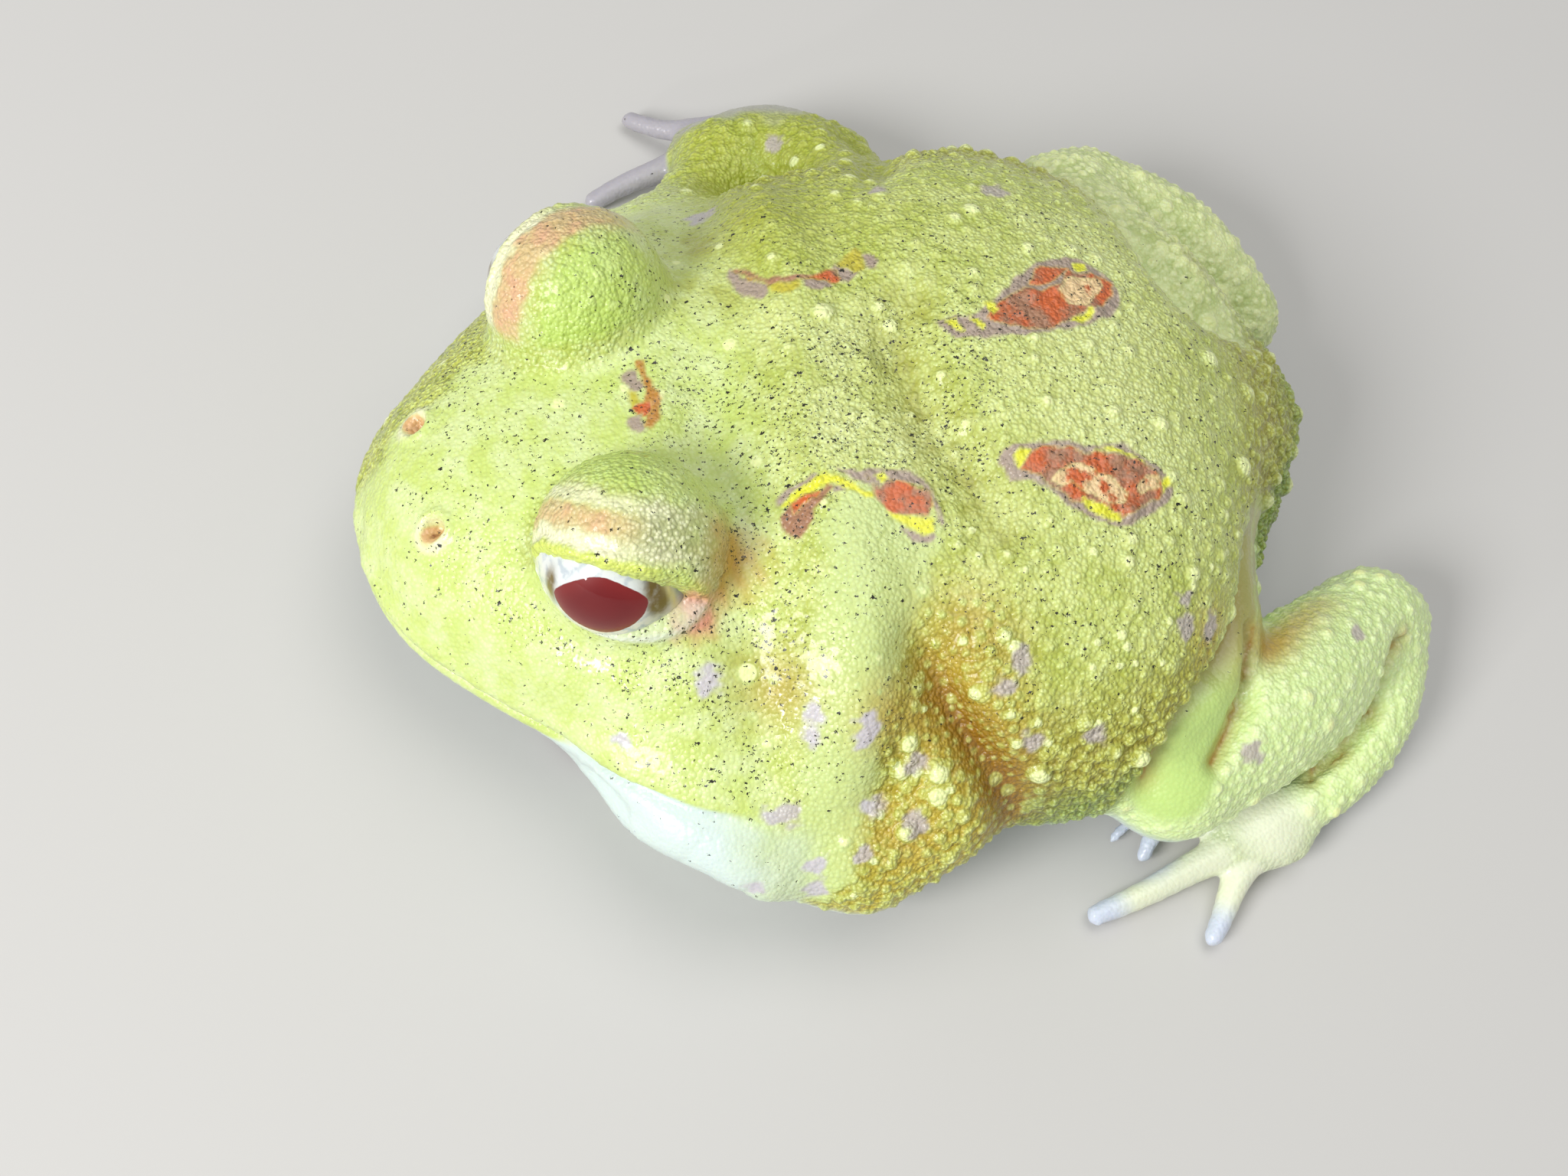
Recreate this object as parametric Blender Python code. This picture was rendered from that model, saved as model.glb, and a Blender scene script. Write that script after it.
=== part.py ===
"""An argentine horned frog at rest, life size, built from lofts, ellipsoids and tapered limbs.

The frog faces -Y and its left side is +X. The origin is on the floor, on the flat of the belly.
The body is modelled whole, then parted into nodes that stand a thin gap apart.
"""

import math

import bmesh
import bpy
from mathutils import Matrix, Vector

MM = 0.001

# Driving dimensions
BODY_LENGTH = 70.5 * MM
TRUNK_WIDTH = 55.0 * MM
BACK_HEIGHT = 25.2 * MM
EYE_DIAMETER = 9.8 * MM
GAP = 0.35 * MM
HEAD_TURN = math.radians(3.8)
HEAD_ROLL = math.radians(5.0)

# The head turns to the left about the neck and rolls to the right, fading out over the shoulders
NECK = Vector((0.0, -3.0, 9.0)) * MM
TURN_STARTS = 4.0 * MM
TURN_ENDS = -12.0 * MM

# The rump bends to the right
RUMP_BEND = -3.8 * MM
RUMP_STARTS = 16.0 * MM
RUMP_ENDS = 32.0 * MM

# Stations along the body in mm: y, half width, top, bottom, height of the widest line, roundness above
STATIONS = (
    (-35.0, 0.0, 8.6, 8.6, 8.6, 1.9),
    (-34.3, 4.4, 11.6, 6.4, 8.6, 1.9),
    (-32.5, 8.2, 14.6, 4.8, 8.6, 1.95),
    (-29.0, 12.2, 17.4, 3.4, 8.7, 2.05),
    (-23.5, 17.0, 19.8, 2.4, 8.9, 2.3),
    (-17.0, 21.3, 21.3, 1.4, 9.2, 2.45),
    (-10.0, 23.9, 22.4, 0.2, 9.6, 2.4),
    (-2.0, 24.8, 24.0, -0.6, 10.0, 2.3),
    (7.0, 26.7, 25.2, -0.6, 10.2, 2.15),
    (14.0, 26.4, 24.8, -0.6, 10.2, 2.1),
    (21.0, 23.0, 23.0, -0.5, 10.0, 2.1),
    (28.0, 15.8, 18.9, 0.8, 9.4, 2.1),
    (33.0, 9.0, 14.4, 3.4, 9.0, 2.1),
    (36.0, 0.0, 9.4, 9.4, 9.4, 2.1),
)
UNDERSIDE_ROUNDNESS = 2.5
BODY_RINGS = 22
BODY_SIDES = 30

LIME = (0.62, 0.74, 0.13)
YELLOW = (0.66, 0.62, 0.10)
PALE = (0.85, 0.90, 0.72)
LAVENDER = (0.60, 0.58, 0.62)
LID_CREAM = (0.85, 0.72, 0.42)
EYE_RED = (0.28, 0.02, 0.02)


def mm(*values):
    return Vector(values) * MM


def clear_scene():
    for obj in list(bpy.data.objects):
        bpy.data.objects.remove(obj)


def skin(name, colour, roughness=0.35):
    material = bpy.data.materials.new(name)
    material.use_nodes = True
    shader = material.node_tree.nodes["Principled BSDF"]
    shader.inputs["Base Color"].default_value = (*colour, 1.0)
    shader.inputs["Roughness"].default_value = roughness
    shader.inputs["Metallic"].default_value = 0.0
    return material


def object_from(name, bm, material=None):
    bmesh.ops.recalc_face_normals(bm, faces=bm.faces)
    mesh = bpy.data.meshes.new(name)
    bm.to_mesh(mesh)
    bm.free()
    mesh.shade_smooth()
    obj = bpy.data.objects.new(name, mesh)
    bpy.context.scene.collection.objects.link(obj)
    if material:
        mesh.materials.append(material)
    return obj


def apply_boolean(obj, other, operation):
    """Applies one Boolean to obj and removes the other object, which is only a tool."""
    modifier = obj.modifiers.new(operation.lower(), "BOOLEAN")
    modifier.operation = operation
    modifier.object = other
    graph = bpy.context.evaluated_depsgraph_get()
    made = bpy.data.meshes.new_from_object(obj.evaluated_get(graph))
    obj.modifiers.clear()
    materials = list(obj.data.materials)
    obj.data = made
    made.name = obj.name
    made.materials.clear()
    for material in materials:
        made.materials.append(material)
    bpy.data.objects.remove(other)
    return obj


def cut(obj, *others):
    for other in others:
        apply_boolean(obj, other, "DIFFERENCE")
    return obj


def join(obj, *others):
    for other in others:
        apply_boolean(obj, other, "UNION")
    return obj


def box(low, high):
    bm = bmesh.new()
    bmesh.ops.create_cube(bm, size=1.0)
    size = high - low
    bmesh.ops.transform(
        bm,
        matrix=Matrix.Translation((low + high) / 2) @ Matrix.Diagonal((*size, 1.0)),
        verts=bm.verts,
    )
    return object_from("box", bm)


def slopes(xs, ys):
    """Slope at each point, the mean of the spans beside it weighted by their lengths."""
    spans = [(ys[i + 1] - ys[i]) / (xs[i + 1] - xs[i]) for i in range(len(xs) - 1)]
    found = [spans[0]]
    for i in range(1, len(spans)):
        before, after = xs[i] - xs[i - 1], xs[i + 1] - xs[i]
        found.append((spans[i - 1] * after + spans[i] * before) / (before + after))
    return found + [spans[-1]]


def curve_through(xs, ys, x):
    """Smooth curve through the points, by cubic Hermite spans."""
    i = max(j for j in range(len(xs) - 1) if j == 0 or xs[j] <= x)
    slope = slopes(xs, ys)
    width = xs[i + 1] - xs[i]
    t = (x - xs[i]) / width
    return (
        (2 * t**3 - 3 * t**2 + 1) * ys[i]
        + (t**3 - 2 * t**2 + t) * width * slope[i]
        + (3 * t**2 - 2 * t**3) * ys[i + 1]
        + (t**3 - t**2) * width * slope[i + 1]
    )


def section(y):
    """Half width, rise above the widest line, depth below it, its height and roundness, in mm.

    Widths and heights are interpolated as squares, so both ends of the body close round.
    """
    ys = [s[0] for s in STATIONS]
    half = curve_through(ys, [s[1] ** 2 for s in STATIONS], y)
    rise = curve_through(ys, [(s[2] - s[4]) ** 2 for s in STATIONS], y)
    depth = curve_through(ys, [(s[4] - s[3]) ** 2 for s in STATIONS], y)
    middle = curve_through(ys, [s[4] for s in STATIONS], y)
    roundness = curve_through(ys, [s[5] for s in STATIONS], y)
    return [math.sqrt(max(v, 0.0)) for v in (half, rise, depth)] + [middle, roundness]


def eased(value, start, end):
    share = min(max((value - start) / (end - start), 0.0), 1.0)
    return share * share * (3 - 2 * share)


def turned_head(point):
    """Turns and rolls what lies in front of the shoulders, and bends the rump to the right."""
    share = eased(point.y, TURN_STARTS, TURN_ENDS)
    turn = Matrix.Rotation(HEAD_TURN * share, 3, "Z") @ Matrix.Rotation(-HEAD_ROLL * share, 3, "Y")
    bend = RUMP_BEND * eased(point.y, RUMP_STARTS, RUMP_ENDS)
    return turn @ (point - NECK) + NECK + Vector((bend, 0, 0))


def signed_power(value, power):
    return math.copysign(abs(value) ** power, value)


def closed_loft(rings, first, last):
    """Joins rings of points into one closed surface with a point at each end."""
    bm = bmesh.new()
    made = [[bm.verts.new(p) for p in ring] for ring in rings]
    for one, two in zip(made, made[1:]):
        for i in range(len(one)):
            j = (i + 1) % len(one)
            bm.faces.new((one[i], one[j], two[j], two[i]))
    for ring, tip in ((made[0], first), (made[-1], last)):
        pole = bm.verts.new(tip)
        for i in range(len(ring)):
            bm.faces.new((ring[i], ring[(i + 1) % len(ring)], pole))
    return bm


def body_loft(grow=0.0):
    """Head and trunk in one, as superellipse sections; grow widens it all round."""
    start, end = STATIONS[0][0], STATIONS[-1][0]
    grow_mm = grow / MM
    rings = []
    for n in range(BODY_RINGS):
        share = (1 - math.cos(math.pi * (n + 0.6) / (BODY_RINGS + 0.2))) / 2
        y = start + (end - start) * share
        half, rise, depth, middle, roundness = section(y)
        ring = []
        for k in range(BODY_SIDES):
            angle = 2 * math.pi * k / BODY_SIDES
            power = 2 / (roundness if math.sin(angle) > 0 else UNDERSIDE_ROUNDNESS)
            height = (rise if math.sin(angle) > 0 else depth) + grow_mm
            x = (half + grow_mm) * signed_power(math.cos(angle), power)
            z = middle + height * signed_power(math.sin(angle), power)
            ring.append(turned_head(mm(x, y + grow_mm * math.copysign(share**8, y), z)))
        rings.append(ring)
    first = turned_head(mm(0, start - grow_mm, STATIONS[0][4]))
    last = turned_head(mm(0, end + grow_mm, STATIONS[-1][4]))
    return object_from("body", closed_loft(rings, first, last))


def ellipsoid(centre, radii, turn=None, segments=16, rings=10):
    bm = bmesh.new()
    bmesh.ops.create_uvsphere(bm, u_segments=segments, v_segments=rings, radius=1.0)
    place = Matrix.Translation(centre) @ (turn or Matrix.Identity(3)).to_4x4()
    bmesh.ops.transform(bm, matrix=place @ Matrix.Diagonal((*radii, 1.0)), verts=bm.verts)
    return object_from("ellipsoid", bm)


def limb(stations, grow=0.0, sides=12, steps=3):
    """Tapered tube with round ends through stations of x, y, z and radius in mm."""
    centres = [mm(*s[:3]) for s in stations]
    radii = [s[3] * MM + grow for s in stations]
    marks = [0.0]
    for a, b in zip(centres, centres[1:]):
        marks.append(marks[-1] + (b - a).length)

    def at(mark):
        place = Vector([curve_through(marks, [c[i] for c in centres], mark) for i in range(3)])
        return place, curve_through(marks, radii, mark)

    count = steps * (len(stations) - 1)
    samples = [at(marks[-1] * n / count) for n in range(count + 1)]
    tangents = []
    for n in range(len(samples)):
        before, after = samples[max(n - 1, 0)][0], samples[min(n + 1, count)][0]
        tangents.append((after - before).normalized())
    side = tangents[0].orthogonal().normalized()

    def ring_at(centre, radius, tangent):
        nonlocal side
        side = (side - tangent * side.dot(tangent)).normalized()
        up = tangent.cross(side)
        turns = [2 * math.pi * k / sides for k in range(sides)]
        return [centre + radius * (side * math.cos(a) + up * math.sin(a)) for a in turns]

    cap_angles = [math.radians(a) for a in (60.0, 30.0)]
    rings = []
    start, start_radius = samples[0]
    for a in cap_angles:
        centre = start - tangents[0] * start_radius * math.sin(a)
        rings.append(ring_at(centre, start_radius * math.cos(a), tangents[0]))
    for (centre, radius), tangent in zip(samples, tangents):
        rings.append(ring_at(centre, radius, tangent))
    end, end_radius = samples[-1]
    for a in reversed(cap_angles):
        centre = end + tangents[-1] * end_radius * math.sin(a)
        rings.append(ring_at(centre, end_radius * math.cos(a), tangents[-1]))
    first = start - tangents[0] * start_radius
    last = end + tangents[-1] * end_radius
    return object_from("limb", closed_loft(rings, first, last))


# Head
EYE_CENTRE = (10.5, -18.6, 20.6)
EYE_OUT_TURN = math.radians(26.0)
LID_TILT = math.radians(17.0)
LID_THICKNESS = 1.2
LID_LENGTHENING = 1.06
MOUTH_HEIGHT = 8.4
MOUTH_CORNER_Y = -13.0
NECK_Y = -9.0

# Throat pouch, one bulge on each side under the corner of the mouth
POUCH_CENTRE = (18.2, -11.0, 7.6)
POUCH_RADII = (9.6, 12.0, 5.6)

# Limbs in mm: x, y, z and radius
LEFT_UPPER_ARM = ((19.0, 4.0, 14.0, 5.5), (24.5, 2.0, 10.0, 5.0), (27.6, -2.5, 6.4, 4.4))
LEFT_FOREARM = ((26.6, -4.6, 5.4, 4.2), (23.0, -11.0, 4.2, 4.0), (17.6, -15.2, 2.7, 2.7))
RIGHT_UPPER_ARM = ((-19.0, 4.5, 13.0, 5.4), (-25.0, 6.0, 9.6, 5.0), (-30.2, 4.4, 6.6, 4.4))
RIGHT_FOREARM = ((-31.4, 3.0, 5.9, 4.4), (-34.4, -0.8, 4.5, 4.1), (-36.4, -4.4, 2.8, 3.1))
LEFT_THIGH = ((9.0, 24.0, 10.5, 7.2), (15.5, 21.5, 9.2, 6.6), (21.6, 19.0, 7.6, 5.2))
LEFT_SHANK = ((23.4, 20.4, 7.2, 4.9), (18.2, 30.0, 6.8, 5.4), (11.6, 40.0, 5.2, 4.0))
LEFT_ANKLE = ((10.8, 42.6, 4.2, 3.5), (17.0, 40.2, 3.4, 3.3), (23.6, 32.4, 2.6, 3.1))
RIGHT_THIGH = ((-9.0, 24.5, 10.5, 7.2), (-17.0, 22.6, 9.4, 6.8), (-24.2, 22.0, 8.4, 5.4))
RIGHT_SHANK = ((-25.4, 24.2, 7.6, 5.2), (-21.6, 31.0, 6.8, 5.0), (-16.6, 36.0, 5.0, 3.9))
RIGHT_ANKLE = ((-17.6, 35.9, 3.4, 3.1), (-24.0, 32.0, 3.2, 3.0), (-29.4, 24.6, 2.4, 2.9))

# Digits in mm: palm or sole point, middle joint and tip, with a radius at each
LEFT_HAND_PALM = ((15.6, -17.0, 2.0), (3.4, 3.4, 1.9))
LEFT_FINGERS = (
    ((16.2, -18.6, 1.8, 1.5), (15.0, -20.6, 1.6, 1.2), (13.4, -22.4, 1.0, 0.8)),
    ((15.0, -18.6, 1.8, 1.5), (12.8, -20.6, 1.5, 1.1), (11.0, -22.2, 0.9, 0.8)),
    ((14.2, -17.8, 1.7, 1.4), (11.8, -18.8, 1.3, 1.0), (10.0, -19.6, 0.8, 0.7)),
    ((14.0, -16.4, 1.5, 1.2), (12.0, -16.2, 1.2, 0.9), (10.6, -16.2, 0.8, 0.7)),
)
RIGHT_HAND_PALM = ((-36.6, -6.0, 2.3), (4.2, 3.4, 2.2))
RIGHT_FINGERS = (
    ((-38.4, -5.6, 1.9, 1.7), (-40.0, -8.2, 1.8, 1.4), (-40.6, -10.2, 1.0, 0.9)),
    ((-35.8, -7.2, 2.0, 1.7), (-34.0, -10.8, 2.0, 1.4), (-32.3, -14.0, 1.0, 0.9)),
    ((-34.2, -6.4, 2.0, 1.7), (-31.8, -8.8, 1.9, 1.4), (-29.8, -11.0, 1.0, 0.9)),
    ((-33.6, -5.0, 1.9, 1.5), (-31.2, -5.6, 1.7, 1.2), (-29.2, -6.0, 1.0, 0.9)),
)
LEFT_SOLE = ((26.6, 27.6, 2.1), (4.6, 4.4, 2.0))
LEFT_TOES = (
    ((28.4, 26.6, 1.8, 1.6), (31.6, 25.2, 1.7, 1.3), (33.7, 23.2, 1.0, 0.9)),
    ((28.4, 25.6, 1.9, 1.7), (30.4, 20.4, 1.9, 1.5), (31.4, 14.8, 1.0, 0.9)),
    ((26.6, 24.4, 1.9, 1.6), (27.2, 21.4, 2.0, 1.4), (27.6, 19.6, 1.3, 1.0)),
    ((24.8, 24.8, 1.8, 1.5), (24.8, 21.8, 1.8, 1.2), (25.2, 19.4, 1.0, 0.9)),
    ((23.4, 26.2, 1.7, 1.4), (21.8, 24.2, 1.6, 1.1), (20.8, 22.4, 1.0, 0.9)),
)
RIGHT_SOLE = ((-31.0, 20.0, 1.9), (4.0, 4.6, 1.8))
RIGHT_TOES = (
    ((-32.2, 18.8, 1.8, 1.6), (-34.2, 16.4, 1.7, 1.3), (-35.4, 14.4, 1.0, 0.9)),
    ((-31.4, 17.6, 1.9, 1.7), (-32.6, 12.6, 1.8, 1.4), (-33.0, 8.2, 1.0, 0.9)),
    ((-29.8, 17.2, 1.9, 1.6), (-29.8, 13.6, 1.8, 1.3), (-29.8, 10.8, 1.0, 0.9)),
    ((-28.6, 17.8, 1.8, 1.5), (-27.6, 15.2, 1.7, 1.2), (-27.2, 13.2, 1.0, 0.9)),
    ((-28.4, 19.2, 1.7, 1.4), (-26.4, 17.6, 1.5, 1.1), (-25.2, 16.4, 1.0, 0.9)),
)

FAR = 60.0
SIDES = {"left": 1, "right": -1}


def eye_axes(side):
    """Turn that faces an eye outwards and a little forwards, in the turned head."""
    out = Matrix.Rotation(HEAD_TURN - side * EYE_OUT_TURN, 3, "Z")
    return Matrix.Rotation(-HEAD_ROLL, 3, "Y") @ out


def eye_centre(side):
    x, y, z = EYE_CENTRE
    return turned_head(mm(side * x, y, z))


def eyeball(side, grow=0.0):
    radius = EYE_DIAMETER / 2 + 0.4 * MM + grow
    return ellipsoid(eye_centre(side), (radius, radius, radius), eye_axes(side), 18, 10)


def lid_dome(side, grow=0.0):
    """Upper eyelid that stands up as a blunt horn over the eye."""
    thick = EYE_DIAMETER / 2 + LID_THICKNESS * MM + grow
    return ellipsoid(eye_centre(side), (thick, thick * LID_LENGTHENING, thick), eye_axes(side), 18, 10)


def eye_opening(side):
    """Wedge that opens the lid outwards, below the edge of the upper lid."""
    high = mm(16, 6.6, 9.0)
    low = mm(2.2, -6.6, 0.6)
    opening = box(low, high)
    facing = Matrix.Rotation(0.0 if side > 0 else math.pi, 3, "Z")
    tilt = Matrix.Rotation(LID_TILT, 3, "Y")
    turn = (eye_axes(side) @ facing @ tilt).to_4x4()
    opening.data.transform(Matrix.Translation(eye_centre(side)) @ turn)
    return opening


def pouch(side, grow=0.0):
    x, y, z = POUCH_CENTRE
    radii = [r * MM + grow for r in POUCH_RADII]
    return ellipsoid(turned_head(mm(side * x, y, z)), radii)


def torso(grow=0.0):
    return join(body_loft(grow), pouch(1, grow), pouch(-1, grow))


def flat_underneath(obj):
    """Cuts the flat on which the frog rests, on the floor."""
    return cut(obj, box(mm(-FAR, -FAR, -FAR), mm(FAR, FAR, 0)))


def finished(obj, name, colour, roughness=0.35):
    obj.name = name
    obj.data.name = name
    obj.data.materials.clear()
    obj.data.materials.append(skin(name + "_skin", colour, roughness))
    return obj


def keep(obj, low, high, tilt=None):
    """Keeps what lies inside the box, which can be tilted about the neck."""
    keeper = box(low, high)
    if tilt:
        keeper.data.transform(Matrix.Translation(NECK) @ tilt @ Matrix.Translation(-NECK))
    return apply_boolean(obj, keeper, "INTERSECT")


def make_head_and_trunk():
    """One loft, parted at the neck and along the mouth."""
    roll = Matrix.Rotation(-HEAD_ROLL, 4, "Y")
    trunk = keep(torso(), mm(-FAR, NECK_Y + GAP / MM, -FAR), mm(FAR, FAR, FAR))
    finished(flat_underneath(trunk), "trunk", LIME)

    jaw = keep(torso(), mm(-FAR, -FAR, -FAR), mm(FAR, FAR, MOUTH_HEIGHT), roll)
    jaw = keep(jaw, mm(-FAR, -FAR, -FAR), mm(FAR, NECK_Y, FAR))
    finished(flat_underneath(jaw), "lower_jaw", PALE)

    head = keep(torso(), mm(-FAR, -FAR, MOUTH_HEIGHT + GAP / MM), mm(FAR, FAR, FAR), roll)
    head = keep(head, mm(-FAR, -FAR, -FAR), mm(FAR, NECK_Y, FAR))
    for side in SIDES.values():
        cut(head, lid_dome(side, GAP), eyeball(side, GAP))
    finished(head, "head", LIME)


def make_eyes():
    for word, side in SIDES.items():
        lid = cut(lid_dome(side), eyeball(side, GAP), eye_opening(side))
        finished(lid, word + "_eyelid", LID_CREAM)
        finished(eyeball(side), word + "_eye", EYE_RED, 0.08)


def digits(palm, fingers, grow=0.0):
    """A hand or a foot: a flat palm with its digits joined to it."""
    centre, radii = palm
    made = ellipsoid(mm(*centre), [r * MM + grow for r in radii], segments=12, rings=8)
    return join(made, *(limb(f, grow, sides=6, steps=2) for f in fingers))


def make_limb(word, names, segments, last, colour):
    """One limb from the body outwards; each segment is cut back from the body and the ones before."""
    done = []
    for name, stations in zip(names, segments):
        piece = cut(limb(stations), torso(GAP), *(limb(s, GAP) for s in done))
        done.append(stations)
        finished(flat_underneath(piece), word + "_" + name, colour)
    foot = cut(digits(*last), torso(GAP), *(limb(s, GAP) for s in done))
    finished(flat_underneath(foot), word + "_" + names[-1], colour)


def main():
    clear_scene()
    make_head_and_trunk()
    make_eyes()
    arm = ("upper_arm", "forearm", "hand")
    leg = ("thigh", "shank", "ankle", "foot")
    make_limb("left", arm, (LEFT_UPPER_ARM, LEFT_FOREARM), (LEFT_HAND_PALM, LEFT_FINGERS), YELLOW)
    make_limb("right", arm, (RIGHT_UPPER_ARM, RIGHT_FOREARM), (RIGHT_HAND_PALM, RIGHT_FINGERS), LAVENDER)
    make_limb("left", leg, (LEFT_THIGH, LEFT_SHANK, LEFT_ANKLE), (LEFT_SOLE, LEFT_TOES), YELLOW)
    make_limb("right", leg, (RIGHT_THIGH, RIGHT_SHANK, RIGHT_ANKLE), (RIGHT_SOLE, RIGHT_TOES), LIME)


main()
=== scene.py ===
"""Argentine horned frog at rest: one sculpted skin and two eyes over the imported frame."""

import math

import bpy
import numpy as np
import openvdb
from mathutils import Matrix, Vector, kdtree


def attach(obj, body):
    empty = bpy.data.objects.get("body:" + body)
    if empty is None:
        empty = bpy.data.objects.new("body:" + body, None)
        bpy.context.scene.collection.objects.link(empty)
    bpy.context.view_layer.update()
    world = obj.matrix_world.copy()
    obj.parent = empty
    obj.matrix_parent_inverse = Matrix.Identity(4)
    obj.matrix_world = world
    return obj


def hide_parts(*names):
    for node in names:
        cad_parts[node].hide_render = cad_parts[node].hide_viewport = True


bl_info = {
    "name": "Horned Frog",
    "version": (1, 0, 0),
    "blender": (4, 5, 0),
    "location": "3D View > Sidebar > Frog",
    "description": "Builds a life-size horned frog at rest",
    "category": "Add Mesh",
}

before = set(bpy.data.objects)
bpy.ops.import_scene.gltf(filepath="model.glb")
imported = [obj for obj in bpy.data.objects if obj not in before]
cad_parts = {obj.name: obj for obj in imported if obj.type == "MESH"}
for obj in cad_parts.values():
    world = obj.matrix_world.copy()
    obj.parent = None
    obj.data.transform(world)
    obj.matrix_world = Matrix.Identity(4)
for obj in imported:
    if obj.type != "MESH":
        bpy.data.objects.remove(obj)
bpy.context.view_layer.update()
MM = 0.001

# Clay: the distance written in empty space, the boxes it is modelled in, and how softly forms join, in mm
EMPTY = 60.0
CLAY_BOX = ((-46, -40, -3), (40, 51, 31))
BODY_BOX = ((-44, -38, -2), (38, 49, 29))
BODY_BLEND, POUCH_BLEND, PALM_BLEND, DIGIT_BLEND, LID_BLEND, OPENING_BLEND = 0.5, 3.0, 1.0, 0.6, 1.6, 0.3
# Straight pieces between two stations of a limb and of a digit
LIMB_STEPS, DIGIT_STEPS = 5, 3
# Samples along the body, and limits that keep its distances sound at the ends and beside it
SECTION_SAMPLES, LEAST_SQUARE, LEAST_SLOPE, SIDE_SLOPE = 1500, 0.05, 0.02, 0.45
# The flat that the frog rests on, how high the clay is cut there, and the lowest point of the skin
FLAT_REACH, FLAT_HEIGHT, LOWEST_POINT = 3, 0.05, 0.02

# Pose of the head, trunk and limbs, in mm, as the solids have them
NECK = np.array((0.0, -3.0, 9.0))
HEAD_TURN = math.radians(3.8)
HEAD_ROLL = math.radians(5.0)
TURN_STARTS, TURN_ENDS = 4.0, -12.0
RUMP_BEND, RUMP_STARTS, RUMP_ENDS = -3.8, 16.0, 32.0

# Stations along the body: y, half width, top, bottom, height of the widest line, roundness above
STATIONS = np.array(
    (
        (-35.0, 0.0, 8.6, 8.6, 8.6, 1.9),
        (-34.3, 4.4, 11.6, 6.4, 8.6, 1.9),
        (-32.5, 8.2, 14.6, 4.8, 8.6, 1.95),
        (-29.0, 12.2, 17.4, 3.4, 8.7, 2.05),
        (-23.5, 17.0, 19.8, 2.4, 8.9, 2.3),
        (-17.0, 21.3, 21.3, 1.4, 9.2, 2.45),
        (-10.0, 23.9, 22.4, 0.2, 9.6, 2.4),
        (-2.0, 24.8, 24.0, -0.6, 10.0, 2.3),
        (7.0, 26.7, 25.2, -0.6, 10.2, 2.15),
        (14.0, 26.4, 24.8, -0.6, 10.2, 2.1),
        (21.0, 23.0, 23.0, -0.5, 10.0, 2.1),
        (28.0, 15.8, 18.9, 0.8, 9.4, 2.1),
        (33.0, 9.0, 14.4, 3.4, 9.0, 2.1),
        (36.0, 0.0, 9.4, 9.4, 9.4, 2.1),
    )
)
UNDERSIDE_ROUNDNESS = 2.5

# Eyes and lids, on a head that looks straight ahead
EYE_CENTRE = (10.5, -18.6, 20.6)
EYE_OUT_TURN = math.radians(26.0)
EYE_SHIFT = (0.5, -0.8, -0.3)
EYE_RADIUS = 5.3
LID_RADIUS = 6.05
LID_LENGTH = 1.05
SOCKET_GAP, OPENING_REACH, OPENING_BOX = 0.6, 8.0, 9
# Planes that cut the eye's opening: how each lid's edge tilts, where it lies and how it bends
UPPER_LID_TILT, UPPER_LID_AT = math.radians(17.0), 2.6
LOWER_LID_TILT, LOWER_LID_AT, LOWER_LID_SLOPE = math.radians(22.0), 0.72, 0.04
UPPER_LID_BEND = 0.035
MOUTH_HEIGHT, MOUTH_RISE = 8.4, 2.1
MOUTH_CORNER_Y = -13.0
NOSTRIL = (4.3, -30.5, 15.8)

POUCH_CENTRE = (18.2, -11.0, 7.6)
POUCH_RADII = (9.6, 12.0, 5.6)

# Each limb is a chain of x, y, z and radius; the number after it is how softly it joins the body
LIMBS = (
    (((19.0, 4.0, 14.0, 5.5), (24.4, 2.0, 10.2, 4.9), (26.7, -2.5, 7.0, 4.2)), 2.2),
    (((26.4, -3.4, 6.6, 4.1), (21.8, -10.6, 4.9, 3.7), (17.2, -15.0, 2.7, 2.5)), 2.6),
    (((-19.0, 3.2, 13.0, 5.2), (-25.0, 4.6, 9.6, 4.7), (-30.2, 3.4, 6.6, 4.3)), 1.5),
    (((-30.6, 3.2, 6.4, 4.3), (-34.2, -0.6, 4.9, 3.9), (-34.4, -4.6, 3.6, 3.1)), 2.2),
    (((-32.2, -4.0, 5.3, 3.2), (-27.5, -7.4, 5.6, 3.4), (-23.2, -9.4, 7.4, 3.8)), 3.2),
    (((8.6, 22.5, 10.2, 7.0), (15.5, 21.3, 9.2, 6.6), (21.6, 19.0, 7.6, 5.2)), 2.0),
    (((23.4, 20.4, 7.2, 4.9), (18.2, 30.0, 6.8, 5.4), (11.6, 40.0, 5.2, 4.0)), 0.8),
    (((11.4, 42.4, 4.2, 3.0), (18.2, 40.0, 3.6, 2.6), (24.2, 33.8, 2.8, 2.1), (26.2, 29.2, 2.2, 1.7)), 1.2),
    (((-9.0, 24.5, 10.5, 7.2), (-17.0, 22.6, 9.4, 6.8), (-24.2, 22.0, 8.4, 5.4)), 2.0),
    (((-25.4, 24.2, 7.6, 5.2), (-21.6, 31.0, 6.8, 5.0), (-16.6, 36.0, 5.0, 3.9)), 0.8),
    (((-17.6, 35.9, 3.4, 3.1), (-24.0, 32.0, 3.2, 3.0), (-29.4, 24.6, 2.4, 2.9)), 0.7),
)
# Numbers of the limbs' parts in that list
LEFT_ARM, RIGHT_ARM, LEFT_LEG, RIGHT_LEG = (0, 1), (2, 3, 4), (5, 6, 7), (8, 9, 10)
LEFT_FOREARM, RIGHT_UPPER_ARM, RIGHT_WRIST = (1,), (2,), (3, 4)

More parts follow.
